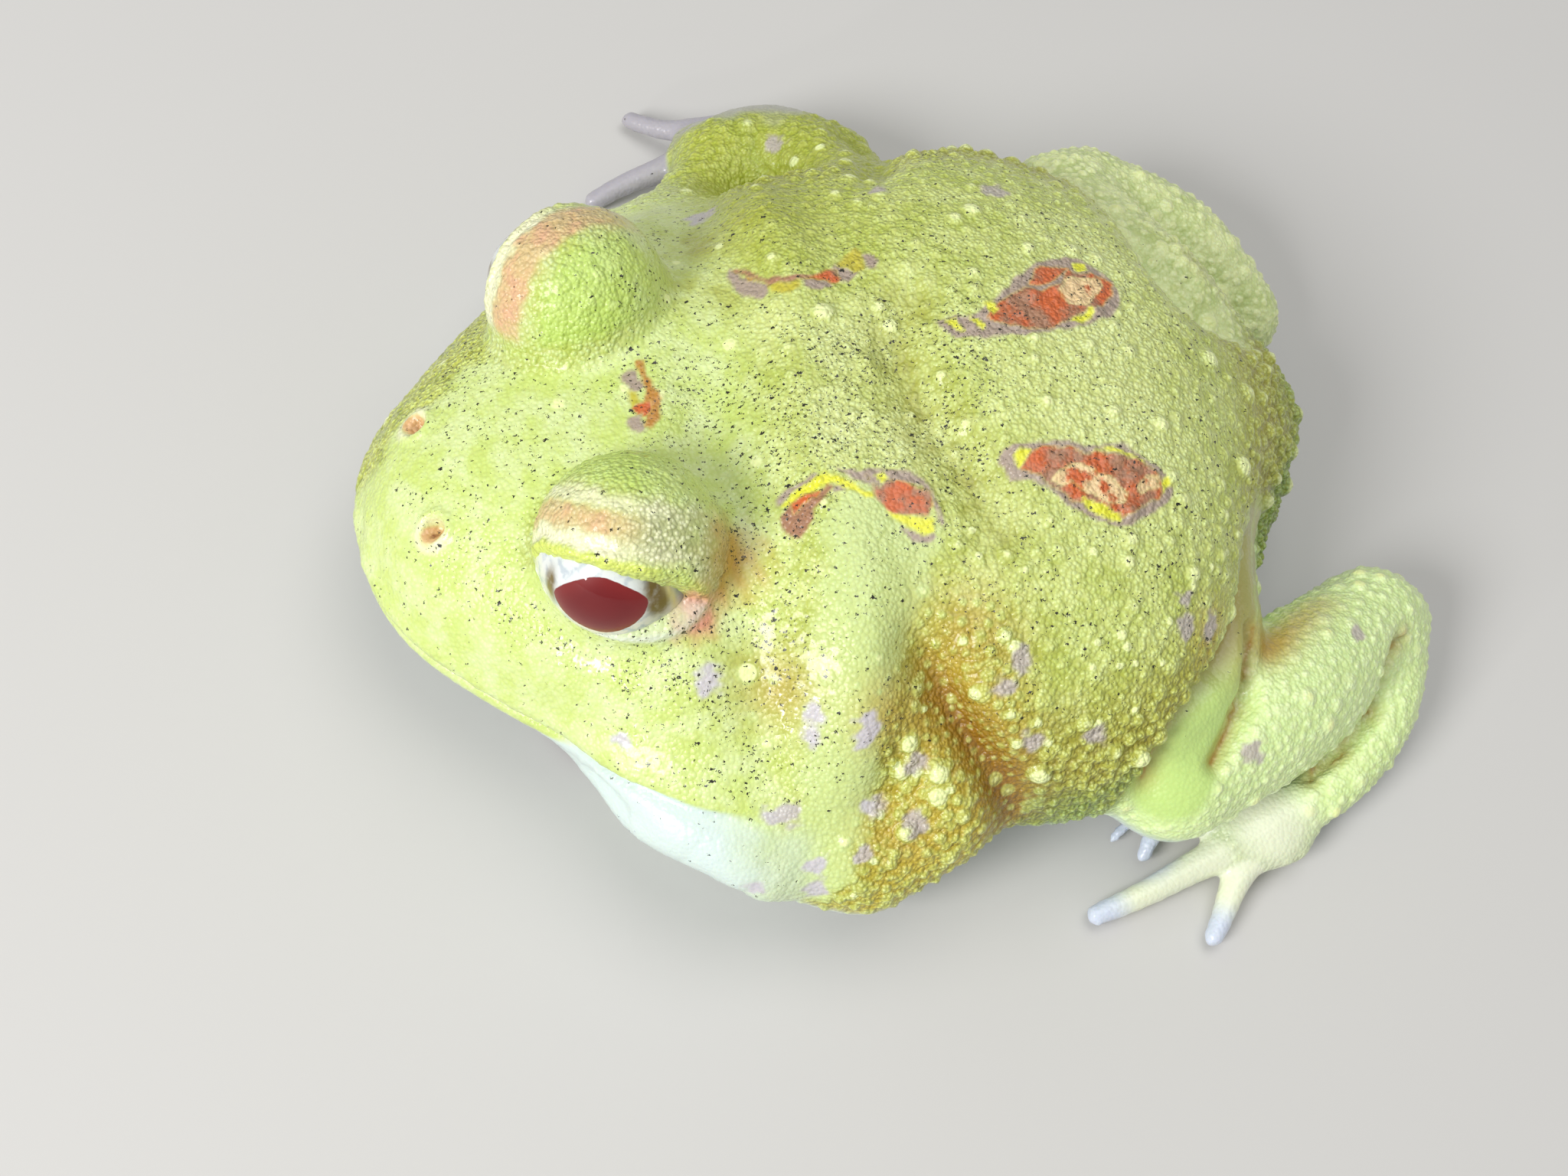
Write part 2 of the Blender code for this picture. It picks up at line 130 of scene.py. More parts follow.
# Palms and soles: centre and radii
PALMS = (
    ((15.6, -17.0, 2.0), (3.4, 3.4, 1.9)),
    ((-36.0, -5.2, 2.6), (2.8, 2.6, 2.0)),
    ((26.4, 28.4, 2.1), (3.2, 4.4, 1.9)),
    ((-31.0, 20.0, 1.9), (4.0, 4.6, 1.8)),
)
DIGITS = (
    ((16.2, -18.6, 1.8, 1.5), (15.0, -20.6, 1.6, 1.2), (13.4, -22.4, 1.0, 0.8)),
    ((15.0, -18.6, 1.8, 1.5), (12.8, -20.6, 1.5, 1.1), (11.0, -22.2, 0.9, 0.8)),
    ((14.2, -17.8, 1.7, 1.4), (11.8, -18.8, 1.3, 1.0), (10.0, -19.6, 0.8, 0.7)),
    ((14.0, -16.4, 1.5, 1.2), (12.0, -16.2, 1.2, 0.9), (10.6, -16.2, 0.8, 0.7)),
    ((-37.6, -0.6, 4.6, 1.0), (-38.2, -4.6, 3.2, 1.05), (-39.2, -7.8, 1.9, 0.85),
        (-41.0, -10.4, 1.0, 0.75)),
    ((-35.6, -5.4, 3.2, 1.3), (-34.4, -9.0, 2.5, 1.05), (-33.6, -12.0, 1.7, 0.9), (-32.6, -14.4, 1.0, 0.8)),
    ((-33.6, -5.8, 2.0, 1.3), (-31.4, -7.6, 1.8, 1.0), (-29.8, -9.0, 1.0, 0.8)),
    ((-33.6, -5.0, 1.9, 1.5), (-31.2, -5.6, 1.7, 1.2), (-29.2, -6.0, 1.0, 0.9)),
    ((27.6, 28.0, 1.9, 1.4), (30.4, 25.6, 1.5, 1.05), (32.4, 24.4, 1.1, 0.85), (33.9, 23.3, 1.0, 0.75)),
    ((27.4, 26.6, 2.0, 1.5), (28.9, 22.4, 1.6, 1.15), (30.4, 18.4, 1.2, 0.95), (31.4, 15.0, 1.0, 0.8)),
    ((25.8, 25.4, 2.0, 1.2), (25.2, 22.4, 2.0, 0.85), (25.8, 20.6, 1.6, 0.75), (27.4, 19.5, 0.9, 0.55)),
    ((24.6, 25.4, 1.8, 1.0), (24.0, 21.6, 1.7, 0.7), (24.6, 19.2, 1.1, 0.5), (25.8, 17.6, 0.7, 0.4)),
    ((23.4, 26.2, 1.7, 1.0), (22.2, 23.2, 1.6, 0.7), (22.4, 21.2, 1.1, 0.55), (23.3, 19.2, 0.8, 0.4)),
    ((-32.2, 18.8, 1.8, 1.6), (-34.2, 16.4, 1.7, 1.3), (-35.4, 14.4, 1.0, 0.9)),
    ((-31.4, 17.6, 1.9, 1.7), (-32.6, 12.6, 1.8, 1.4), (-33.0, 8.2, 1.0, 0.9)),
    ((-29.8, 17.2, 1.9, 1.6), (-29.8, 13.6, 1.8, 1.3), (-29.8, 10.8, 1.0, 0.9)),
    ((-28.6, 17.8, 1.8, 1.5), (-27.6, 15.2, 1.7, 1.2), (-27.2, 13.2, 1.0, 0.9)),
    ((-28.4, 19.2, 1.7, 1.4), (-26.4, 17.6, 1.5, 1.1), (-25.2, 16.4, 1.0, 0.9)),
)
# Numbers of the palms and of the digits that belong to hands and to feet, and the back of the right hand
HANDS, FEET = ((0, 1), range(0, 8)), ((2, 3), range(8, 18))
HAND_BACK = ((-35.9, 0.5, 8.0), (-36.6, -2.6, 6.6), (-37.0, -5.6, 5.0))

# Lines along the bare skin of the left thigh and along the smooth ridge over the left shoulder
THIGH_MIDDLE = (
    (7.6, 29.2, 16.2), (11.4, 27.2, 16.4), (14.6, 25.4, 15.6), (17.6, 24.0, 14.7), (20.0, 22.6, 13.7),
    (21.9, 21.3, 12.9), (23.9, 19.8, 12.0), (25.4, 18.7, 11.0),
)
SMOOTH_RIDGE = (
    (11.5, -2.1, 23.0), (15.7, -3.5, 21.7), (19.6, -4.8, 19.7), (22.9, -5.2, 16.3), (26.0, -5.7, 12.2),
    (28.3, -6.7, 8.5),
)
# Soft ridges and furrows over the skin, as lines with a width and a height
FOLDS = (
    (((7.8, -4.4, 23.4), (14.1, -4.3, 22.2), (20.6, -5.0, 19.1), (27.4, -5.3, 10.4)), 3.4, 1.3),
    (((12.5, -11.5, 21.0), (18.5, -10.8, 19.0), (22.6, -9.9, 15.8)), 2.6, -1.1),
    (((18.1, -0.3, 20.5), (19.5, 1.1, 18.7), (21.8, 2.2, 17.4), (23.6, 3.5, 16.2), (25.2, 5.1, 14.6),
        (26.4, 6.7, 11.9)), 1.7, -2.1),
    (((-5.7, 2.5, 24.4), (-1.7, 1.0, 24.4), (2.7, 2.0, 24.6), (6.9, 3.9, 24.5),
        (11.2, 5.6, 23.8)), 2.2, -1.2),
    (((-7.4, -5.0, 22.8), (-1.6, -5.2, 23.2), (4.9, -6.0, 23.1)), 2.4, 0.8),
    (((-3.3, -11.4, 21.9), (2.1, -12.4, 22.0), (7.0, -11.5, 22.3)), 2.4, -1.0),
    (((-8.0, -4.5, 23.0), (-12.5, -5.0, 21.8), (-18.5, -5.5, 19.0)), 2.4, 1.1),
    (((-14.0, -11.5, 20.0), (-19.0, -9.5, 17.4), (-22.0, -8.0, 14.0)), 2.4, -0.8),
    (((16.0, 26.5, 14.5), (17.2, 25.8, 13.6), (18.6, 25.2, 12.8), (20.2, 24.7, 11.2), (22.3, 23.5, 10.9),
        (24.4, 21.8, 11.0)), 0.75, -1.5),
    (((14.8, 40.8, 8.3), (15.4, 39.6, 8.4), (17.3, 38.3, 7.9), (19.3, 37.5, 5.7), (20.8, 35.7, 5.2),
        (22.1, 34.2, 4.8), (23.4, 32.3, 4.3)), 0.75, -1.1),
    (((-1.6, -1.2, 24.2), (-0.2, -0.8, 24.2)), 0.7, 0.45),
    (((10.7, 26.7, 16.7), (13.4, 25.2, 15.6), (16.2, 23.6, 14.7), (18.1, 22.5, 14.6), (20.5, 19.9, 14.7),
        (22.1, 17.9, 14.4), (23.9, 16.9, 12.8), (25.0, 16.6, 11.1)), 1.1, -1.5),
    (((15.5, -2.3, 21.7), (19.6, -3.5, 19.9), (22.9, -3.8, 17.0), (26.0, -4.4, 13.2)), 2.4, 0.6),
    (((-19.6, 3.4, 20.6), (-22.9, 4.6, 18.4), (-24.5, 5.5, 15.5)), 1.8, -1.5),
    (((-20.3, 22.1, 17.0), (-16.2, 23.6, 18.6), (-12.4, 25.4, 19.0), (-9.8, 28.0, 18.3),
        (-9.0, 31.5, 15.5)), 2.6, -1.8),
    (((-14.0, 24.2, 18.6), (-11.2, 25.6, 18.8), (-8.8, 27.6, 18.6), (-8.2, 30.2, 17.0)), 2.2, -1.7),
    (((3.0, 31.8, 14.8), (5.5, 30.5, 15.6), (9.6, 28.6, 16.3), (12.9, 27.4, 15.4)), 2.4, -1.0),
    (((1.7, 34.6, 10.9), (4.4, 33.2, 11.0), (5.8, 32.4, 10.8), (8.2, 31.0, 11.6),
        (10.4, 29.4, 12.6)), 2.7, -1.9),
    (((26.4, -14.6, 10.2), (28.3, -11.4, 9.4), (29.0, -8.6, 8.4)), 2.2, 0.9),
    (((28.0, -11.2, 8.8), (28.8, -9.2, 7.6), (29.3, -7.4, 6.4)), 1.9, 1.4),
    (((20.3, -22.0, 9.2), (22.3, -21.0, 9.2), (24.2, -18.6, 10.2)), 1.9, -1.3),
    (((-33.0, 4.4, 10.0), (-30.4, 6.0, 11.2), (-27.2, 6.4, 13.4)), 2.2, -1.3),
    (((-13.0, 22.8, 19.8), (-10.0, 23.5, 20.4), (-8.0, 25.0, 20.2), (-6.8, 27.0, 19.6)), 2.0, -1.3),
)
# Numbers of some of them
BACK_HOLLOW, ARM_PIT, THIGH_CREASE, SHANK_CREASE, GROIN = 3, 2, 8, 9, 11
# Gold skin high on the shoulder, and widths in mm of the leg's web, a band of painted shade, and of the
# painted shade, ochre, in the arm pit
GOLDEN, GOLDEN_SIZE = (18.5, 2.8, 21.0), 4.0
WEB_WIDTH, PIT_WIDTH = 1.7, 2.9
# How much lower the throat starts at the front of the mouth
THROAT_DROP = 1.6
# The web of skin between rump and knee, the upper edge of the left shank
LEG_WEB = ((7.4, 29.3, 13.8), (10.0, 28.8, 13.4), (12.6, 28.2, 13.0), (15.0, 27.8, 12.3))
SHANK_EDGE = ((16.4, 27.6, 12.2), (14.9, 30.0, 11.3), (13.5, 31.8, 10.7), (12.1, 33.8, 9.9))
# The rough far cheek lies below a height that goes with y
FAR_CHEEK_Y = (-33.5, -31.0, -28.6, -26.0, -20.0, -13.0)
FAR_CHEEK_HEIGHT = (13.0, 14.8, 16.5, 17.5, 16.0, 13.0)

# Large pale warts that stand alone: x, y, z and radius
LONE_WARTS = (
    (21.4, 3.4, 19.3, 0.52), (24.0, 6.1, 17.0, 0.44), (24.2, 8.3, 17.1, 0.37), (19.1, 6.0, 21.0, 0.52),
    (22.5, 5.7, 18.5, 0.37), (18.5, 2.7, 21.1, 0.33), (11.7, 3.9, 23.6, 0.33), (13.4, 4.2, 23.2, 0.33),
    (23.1, 7.5, 18.1, 0.37), (23.4, 11.7, 17.6, 0.41), (19.1, 11.6, 20.9, 0.33), (18.7, 13.4, 20.9, 0.44),
    (19.3, 13.8, 20.4, 0.41), (20.4, 11.2, 20.1, 0.30), (20.2, 14.4, 19.6, 0.30), (20.4, 13.2, 19.9, 0.30),
    (20.0, 16.5, 19.1, 0.30), (14.3, 19.7, 20.6, 0.37), (15.2, 19.2, 20.5, 0.37), (13.7, 21.2, 20.0, 0.33),
    (12.3, 22.9, 19.4, 0.33), (10.7, 24.3, 18.7, 0.37), (13.7, 11.9, 23.2, 0.37), (17.7, 17.1, 20.4, 0.37),
    (22.6, 14.4, 17.7, 0.33), (23.6, -1.0, 17.1, 0.70), (24.3, 0.0, 14.7, 0.41), (25.4, 1.0, 15.6, 0.72),
    (26.5, 0.9, 14.7, 0.72), (27.7, -0.8, 12.8, 0.41), (26.0, -2.8, 12.0, 0.37), (23.6, -1.8, 15.3, 0.33),
    (26.9, -4.8, 10.7, 0.37), (28.9, -3.3, 10.8, 0.30), (30.3, -4.3, 8.9, 0.30), (26.1, 1.7, 14.9, 0.33),
    (21.8, 0.4, 18.3, 0.30),
)


# Small shared mathematics


def eased(value, start, end):
    share = np.clip((value - start) / (end - start), 0.0, 1.0)
    return share * share * (3 - 2 * share)


def bell(distance, width):
    """Hump that is 1 at no distance and falls away over the width."""
    return np.exp(-((distance / width) ** 2))


def turn_about(axis, angle):
    return np.array(Matrix.Rotation(angle, 3, axis))


def unit(vector):
    return vector / np.linalg.norm(vector)


def head_turn():
    return turn_about("Z", HEAD_TURN) @ turn_about("Y", -HEAD_ROLL)


def on_head(x, y, z):
    """A point of the head before it turned, put where it is after."""
    return head_turn() @ (np.array((x, y, z)) - NECK) + NECK


def eye_frame(side):
    """Centre of an eyeball, the directions out, back and up from it, and the centre of its lid's dome."""
    x, y, z = EYE_CENTRE
    dome = on_head(side * x, y, z)
    axes = turn_about("Y", -HEAD_ROLL) @ turn_about("Z", HEAD_TURN - side * EYE_OUT_TURN)
    out = axes @ np.array((side, 0.0, 0.0))
    up = axes @ np.array((0.0, 0.0, 1.0))
    back = np.cross(up, out) * side
    axes = np.array((out, back, up))
    return dome + np.array(EYE_SHIFT) @ axes, axes, dome


def smooth_curve(marks, values, at):
    """Cubic Hermite curve through the points, with the slope at each the mean of its spans."""
    spans = np.diff(values) / np.diff(marks)
    widths = np.diff(marks)
    slopes = np.empty(len(marks))
    slopes[0], slopes[-1] = spans[0], spans[-1]
    slopes[1:-1] = (spans[:-1] * widths[1:] + spans[1:] * widths[:-1]) / (widths[:-1] + widths[1:])
    i = np.clip(np.searchsorted(marks, at, side="right") - 1, 0, len(widths) - 1)
    t = (at - marks[i]) / widths[i]
    return (
        (2 * t**3 - 3 * t**2 + 1) * values[i]
        + (t**3 - 2 * t**2 + t) * widths[i] * slopes[i]
        + (3 * t**2 - 2 * t**3) * values[i + 1]
        + (t**3 - t**2) * widths[i] * slopes[i + 1]
    )


def distance_to_line(points, line):
    """Distance from each point to a chain of straight pieces, and how far along it that is, 0 to 1."""
    line = np.asarray(line, float)
    lengths = np.linalg.norm(np.diff(line, axis=0), axis=1)
    nearest = np.full(len(points), np.inf)
    along = np.zeros(len(points))
    gone = 0.0
    for start, end, length in zip(line[:-1], line[1:], lengths):
        direction = (end - start) / length
        t = np.clip((points - start) @ direction, 0, length)
        distance = np.linalg.norm(points - start - t[:, None] * direction, axis=1)
        closer = distance < nearest
        nearest[closer] = distance[closer]
        along[closer] = (gone + t[closer]) / lengths.sum()
        gone += length
    return nearest, along


def laid_on(points, line):
    """The line in pieces of about a millimetre, each end moved to the nearest of the points."""
    line = np.asarray(line, float)
    marks = np.concatenate(([0.0], np.linalg.norm(np.diff(line, axis=0), axis=1).cumsum()))
    at = np.linspace(0, marks[-1], int(marks[-1]) + 2)
    path = np.array([np.interp(at, marks, line[:, i]) for i in range(3)]).T
    laid = np.array([nearest_point(points, place) for place in path])
    return laid[np.concatenate(([True], np.linalg.norm(np.diff(laid, axis=0), axis=1) > 0.05))]


def nearest_point(points, place):
    return points[np.argmin(((points - np.array(place)) ** 2).sum(axis=1))]


def distance_to(points, place):
    return np.linalg.norm(points - np.array(place), axis=1)


def glow(points, places):
    """1 at the places, falling away over the size of each; a place is x, y, z and size."""
    return np.maximum.reduce([bell(distance_to(points, place[:3]), place[3]) for place in places])


def band(value, low, full, fading, gone):
    """1 between two values and 0 outside, with soft ends."""
    return eased(value, low, full) * (1 - eased(value, fading, gone))


def near_fold(points, line, width):
    """1 on the line laid on the skin, falling away over the width."""
    distance, _ = distance_to_line(points, laid_on(points, line))
    return bell(distance, width)


# Clay: a grid of distances to the surface, to which soft forms are added


class Clay:
    def __init__(self, low, high, step):
        self.low, self.step = np.array(low, np.float32), step
        count = np.ceil((np.array(high) - self.low) / step).astype(int)
        self.axes = [self.low[i] + step * np.arange(count[i], dtype=np.float32) for i in range(3)]
        self.field = np.full(count, EMPTY, np.float32)

    def window(self, low, high):
        found = []
        for axis, a, b in zip(self.axes, low, high):
            found.append(slice(max(np.searchsorted(axis, a) - 1, 0), np.searchsorted(axis, b) + 1))
        x, y, z = (axis[s] for axis, s in zip(self.axes, found))
        return tuple(found), (x[:, None, None], y[None, :, None], z[None, None, :])

    def add(self, form, low, high, blend):
        """Joins a form, with a fillet as wide as blend."""
        reach = blend + 2.5 * self.step
        where, points = self.window(np.array(low) - reach, np.array(high) + reach)
        old, new = self.field[where], form(*points)
        soft = np.maximum(blend - np.abs(old - new), 0) / blend
        self.field[where] = np.minimum(old, new) - soft * soft * blend / 4

    def carve(self, form, low, high, blend):
        """Takes a form away, with its edge rounded over blend."""
        where, points = self.window(low, high)
        old, new = self.field[where], -form(*points)
        soft = np.maximum(blend - np.abs(old - new), 0) / blend
        self.field[where] = np.maximum(old, new) + soft * soft * blend / 4

    def surface(self):
        """Points in mm and four-sided faces, facing out."""
        grid = openvdb.FloatGrid(EMPTY)
        grid.copyFromArray(self.field)
        points, quads = grid.convertToQuads(isovalue=0.0)
        points = np.array(points, np.float64) * self.step + self.low
        quads = np.array(quads, np.int64)
        a, b, c, d = (points[quads[:, i]] for i in range(4))
        if np.einsum("ij,ij->i", a + b + c + d, np.cross(c - a, d - b)).sum() < 0:
            quads = quads[:, ::-1]
        return points, quads


def ellipsoid_form(centre, radii, axes=None):
    centre, radii = np.array(centre), np.array(radii, float)
    axes = np.eye(3) if axes is None else axes

    def distance(x, y, z):
        x, y, z = x - centre[0], y - centre[1], z - centre[2]
        local = [a[0] * x + a[1] * y + a[2] * z for a in axes]
        near = np.sqrt(sum((p / r) ** 2 for p, r in zip(local, radii)))
        slope = np.sqrt(sum((p / r**2) ** 2 for p, r in zip(local, radii)))
        return (near * (near - 1) / np.maximum(slope, 1e-6)).astype(np.float32)

    reach = radii.max()
    return distance, centre - reach, centre + reach


def tube_form(stations, steps=LIMB_STEPS):
    """Round limb through stations of x, y, z and radius."""
    stations = np.array(stations, float)
    marks = np.concatenate(([0.0], np.linalg.norm(np.diff(stations[:, :3], axis=0), axis=1).cumsum()))
    at = np.linspace(0, marks[-1], steps * (len(stations) - 1) + 1)
    path = np.array([smooth_curve(marks, stations[:, i], at) for i in range(4)]).T

    def distance(x, y, z):
        nearest = np.float32(EMPTY)
        for start, end in zip(path[:-1], path[1:]):
            way = end[:3] - start[:3]
            length = way @ way
            dx, dy, dz = x - start[0], y - start[1], z - start[2]
            t = np.clip((dx * way[0] + dy * way[1] + dz * way[2]) / length, 0, 1)
            apart = np.sqrt((dx - t * way[0]) ** 2 + (dy - t * way[1]) ** 2 + (dz - t * way[2]) ** 2)
            nearest = np.minimum(nearest, apart - start[3] - t * (end[3] - start[3]))
        return nearest.astype(np.float32)

    reach = path[:, 3:].max()
    return distance, path[:, :3].min(axis=0) - reach, path[:, :3].max(axis=0) + reach


def body_form(step):
    """Head and trunk as superellipse sections along a line that turns at the neck and bends at the rump."""
    ys = STATIONS[:, 0]
    fine = np.linspace(ys[0], ys[-1], SECTION_SAMPLES)
    half, top, bottom, middle, roundness = STATIONS[:, 1:].T
    table = [
        np.sqrt(np.maximum(smooth_curve(ys, values**2, fine), LEAST_SQUARE))
        for values in (half, top - middle, middle - bottom)
    ]
    table += [smooth_curve(ys, middle, fine), smooth_curve(ys, roundness, fine)]

    def distance(x, y, z):
        share = eased(y, TURN_STARTS, TURN_ENDS)
        x = x - RUMP_BEND * eased(y, RUMP_STARTS, RUMP_ENDS)
        turn, roll = HEAD_TURN * share, -HEAD_ROLL * share
        rx, ry, rz = x - NECK[0], y - NECK[1], z - NECK[2]
        ax = rx * np.cos(turn) + ry * np.sin(turn)
        ay = ry * np.cos(turn) - rx * np.sin(turn)
        bx = ax * np.cos(roll) - rz * np.sin(roll)
        bz = rz * np.cos(roll) + ax * np.sin(roll)
        lx, ly, lz = bx + NECK[0], ay + NECK[1], bz + NECK[2]
        width, rise, depth, mid, power = (np.interp(ly, fine, column) for column in table)
        height = lz - mid
        power = np.where(height > 0, power, UNDERSIDE_ROUNDNESS)
        tall = np.where(height > 0, rise, depth)
        inside = (np.abs(lx) / width) ** power + (np.abs(height) / tall) ** power
        level = inside ** (1 / power) - 1
        beyond = np.maximum(np.abs(ly - (ys[0] + ys[-1]) / 2) - (ys[-1] - ys[0]) / 2, 0)
        level = level + beyond
        slope = np.sqrt(sum(g * g for g in np.gradient(level, step)))
        near = level / np.maximum(slope, LEAST_SLOPE)
        return np.maximum(near, SIDE_SLOPE * (np.abs(lx) - width)).astype(np.float32)

    return distance


def model_clay(step):
    """The whole frog in clay, with its eye openings and the flat that it rests on."""
    clay = Clay(*CLAY_BOX, step)
    clay.add(body_form(step), *BODY_BOX, BODY_BLEND)
    for side in (1, -1):
        x, y, z = POUCH_CENTRE
        clay.add(*ellipsoid_form(on_head(side * x, y, z), POUCH_RADII), POUCH_BLEND)
    for stations, blend in LIMBS:
        clay.add(*tube_form(stations), blend)
    for centre, radii in PALMS:
        clay.add(*ellipsoid_form(centre, radii), PALM_BLEND)
    for stations in DIGITS:
        clay.add(*tube_form(stations, DIGIT_STEPS), DIGIT_BLEND)
    for side in (1, -1):
        _, axes, dome = eye_frame(side)
        clay.add(*ellipsoid_form(dome, (LID_RADIUS, LID_RADIUS * LID_LENGTH, LID_RADIUS), axes), LID_BLEND)
        clay.carve(*eye_opening(side), OPENING_BLEND)
    where, (x, y, z) = clay.window((-EMPTY, -EMPTY, -EMPTY), (EMPTY, EMPTY, FLAT_REACH))
    clay.field[where] = np.maximum(clay.field[where], FLAT_HEIGHT - z)
    return clay


def lid_levels(local):
    """How far outward of the upper lid's edge, and how far above the lower lid's, in mm."""
    out, back, up = local
    upper = out * math.cos(UPPER_LID_TILT) - up * math.sin(UPPER_LID_TILT) - UPPER_LID_AT
    upper = upper + UPPER_LID_BEND * np.minimum(back * back, 20.0)
    lower = out * math.sin(LOWER_LID_TILT) + up * math.cos(LOWER_LID_TILT)
    lower = lower - LOWER_LID_AT - LOWER_LID_SLOPE * back
    return upper, lower


def eye_opening(side):
    centre, axes, _ = eye_frame(side)

    def distance(x, y, z):
        x, y, z = x - centre[0], y - centre[1], z - centre[2]
        local = [a[0] * x + a[1] * y + a[2] * z for a in axes]
        upper, lower = lid_levels(local)
        away = np.sqrt(x * x + y * y + z * z)
        walls = (-upper, -lower, EYE_RADIUS - SOCKET_GAP - away, away - OPENING_REACH)
        return np.maximum.reduce(walls).astype(np.float32)

    return distance, centre - OPENING_BOX, centre + OPENING_BOX


# Mesh helpers


def mesh_from(name, points, faces):
    faces = np.asarray(faces)
    mesh = bpy.data.meshes.new(name)
    mesh.vertices.add(len(points))
    mesh.vertices.foreach_set("co", np.asarray(points, np.float32).ravel())
    mesh.loops.add(faces.size)
    mesh.loops.foreach_set("vertex_index", faces.astype(np.int32).ravel())
    mesh.polygons.add(len(faces))
    mesh.polygons.foreach_set("loop_start", np.arange(0, faces.size, faces.shape[1], dtype=np.int32))
    mesh.update(calc_edges=True)
    mesh.validate()
    return mesh


def finer(mesh, levels):
    """The mesh after subdivision."""
    holder = bpy.data.objects.new("holder", mesh)
    bpy.context.scene.collection.objects.link(holder)
    modifier = holder.modifiers.new("finer", "SUBSURF")
    modifier.levels = modifier.render_levels = levels
    graph = bpy.context.evaluated_depsgraph_get()
    made = bpy.data.meshes.new_from_object(holder.evaluated_get(graph))
    bpy.data.objects.remove(holder)
    return made


def points_of(mesh):
    points = np.empty(len(mesh.vertices) * 3, np.float32)
    mesh.vertices.foreach_get("co", points)
    return points.reshape(-1, 3).astype(np.float64)


def normals_of(mesh):
    normals = np.empty(len(mesh.vertices) * 3, np.float32)
    mesh.vertices.foreach_get("normal", normals)
    return normals.reshape(-1, 3).astype(np.float64)


def move_to(mesh, points):
    mesh.vertices.foreach_set("co", points.astype(np.float32).ravel())
    mesh.update()


def relaxed(points, quads, passes, share=0.5, back=1.04):
    """Points drawn towards the middle of their neighbours, and pushed back a little more to keep size."""
    edges = np.concatenate([quads[:, [i, (i + 1) % 4]] for i in range(4)])
    count = np.bincount(edges[:, 0], minlength=len(points)) + np.bincount(edges[:, 1], minlength=len(points))
    for n in range(passes * 2):
        amount = share if n % 2 == 0 else -share * back
        mean = np.empty_like(points)
        for i in range(3):
            mean[:, i] = np.bincount(edges[:, 0], weights=points[edges[:, 1], i], minlength=len(points))
            mean[:, i] += np.bincount(edges[:, 1], weights=points[edges[:, 0], i], minlength=len(points))
        points = points + amount * (mean / count[:, None] - points)
    return points


def store(mesh, name, values):
    layer = mesh.attributes.new(name, "FLOAT", "POINT")
    layer.data.foreach_set("value", np.asarray(values, np.float32))


# Surface regions

# Distances in mm from a limb's skin, a palm, the middle of a digit and its end, over which each region fades
LIMB_FADE, PALM_FADE, DIGIT_FADE, TIP_FADE = (0.2, 2.2), (-2.4, 1.2), (1.2, 2.0), (1.0, 3.4)
# Where the regions of the skin begin and where they are full, along x, y or z, or outwards
HEAD_Y, BACK_Y, PIT_Z = (-6.5, -11.5), (-9.0, -5.0), (21.2, 17.8)
FLANK_Y, FLANK_Z, FLANK_OUT, FLANK_REAR_Y = (-9.0, -3.0), (21.5, 15.5), (15.0, 21.0), (20.0, 28.0)
UNDER_SLOPE, UNDER_Z, ARM_UNDER_Z = (0.15, -0.35), (9.0, 5.0), (1.5, 3.5)
CHEEK_DROP, CHEEK_X, CHEEK_Y, CHEEK_SHARE = (-0.3, 0.7), (-0.5, -2.5), (-13.0, -18.0), 0.9
WRIST_SHARE, WRIST_X, HAND_BACK_REACH, HAND_BACK_SHARE = (0.75, 1.0), (0, -1), (3.4, 0.8), 0.75
THROAT_Y, THROAT_FRONT_Y, FOREARM_Z = (-6.0, -8.5), (-20.0, -25.0), (6.5, 4.0)
THROAT_REAR_Y, THROAT_REAR_SHARE = (-14.0, -8.5), 0.6
# How softly the throat ends at the mouth line, in front and as much more at the rear
THROAT_EDGE, THROAT_SOFTER, THROAT_SOFTER_Y = 0.25, 1.2, (-14.0, -8.0)
GROIN_ALONG = (0.45, 0.75)
# Half width of the thigh's bare skin and of the shoulder's ridge where they begin, and what the length adds
THIGH_FULL, THIGH_ENDS = (0.9, 1.5), (1.8, 1.9)
RIDGE_FULL, RIDGE_ENDS = (3.0, -1.6), (4.4, -1.8)


def waves(points, size, seed, count=14, spread=(0.7, 1.6), softening=1.6):
    """Smooth noise from -1 to 1, made of sine waves about as long as size in mm."""
    rng = np.random.default_rng(seed)
    total = np.zeros(len(points))
    for _ in range(count):
        way = unit(rng.normal(size=3)) * (2 * math.pi / (size * rng.uniform(*spread)))
        total += np.sin(points @ way + rng.uniform(0, 2 * math.pi))
    return np.clip(total / math.sqrt(count) / softening, -1, 1)


def near_limb(points, numbers):
    """1 on the chosen limbs, fading to 0 off them."""
    share = np.zeros(len(points))
    for number in numbers:
        line = np.array(LIMBS[number][0])
        distance, along = distance_to_line(points, line[:, :3])
        radius = np.interp(along, np.linspace(0, 1, len(line)), line[:, 3])
        share = np.maximum(share, 1 - eased(distance - radius, *LIMB_FADE))
    return share


def near_digits(points, palms, digits):
    share = np.zeros(len(points))
    for number in palms:
        centre, radii = PALMS[number]
        away = distance_to(points, centre) - max(radii)
        share = np.maximum(share, 1 - eased(away, *PALM_FADE))
    for number in digits:
        line = np.array(DIGITS[number])
        distance, _ = distance_to_line(points, line[:, :3])
        share = np.maximum(share, 1 - eased(distance, *DIGIT_FADE))
    return share


def tips_of(points):
    ends = np.array([line[-1][:3] for line in DIGITS])
    near = np.min([distance_to(points, end) for end in ends], axis=0)
    return 1 - eased(near, *TIP_FADE)


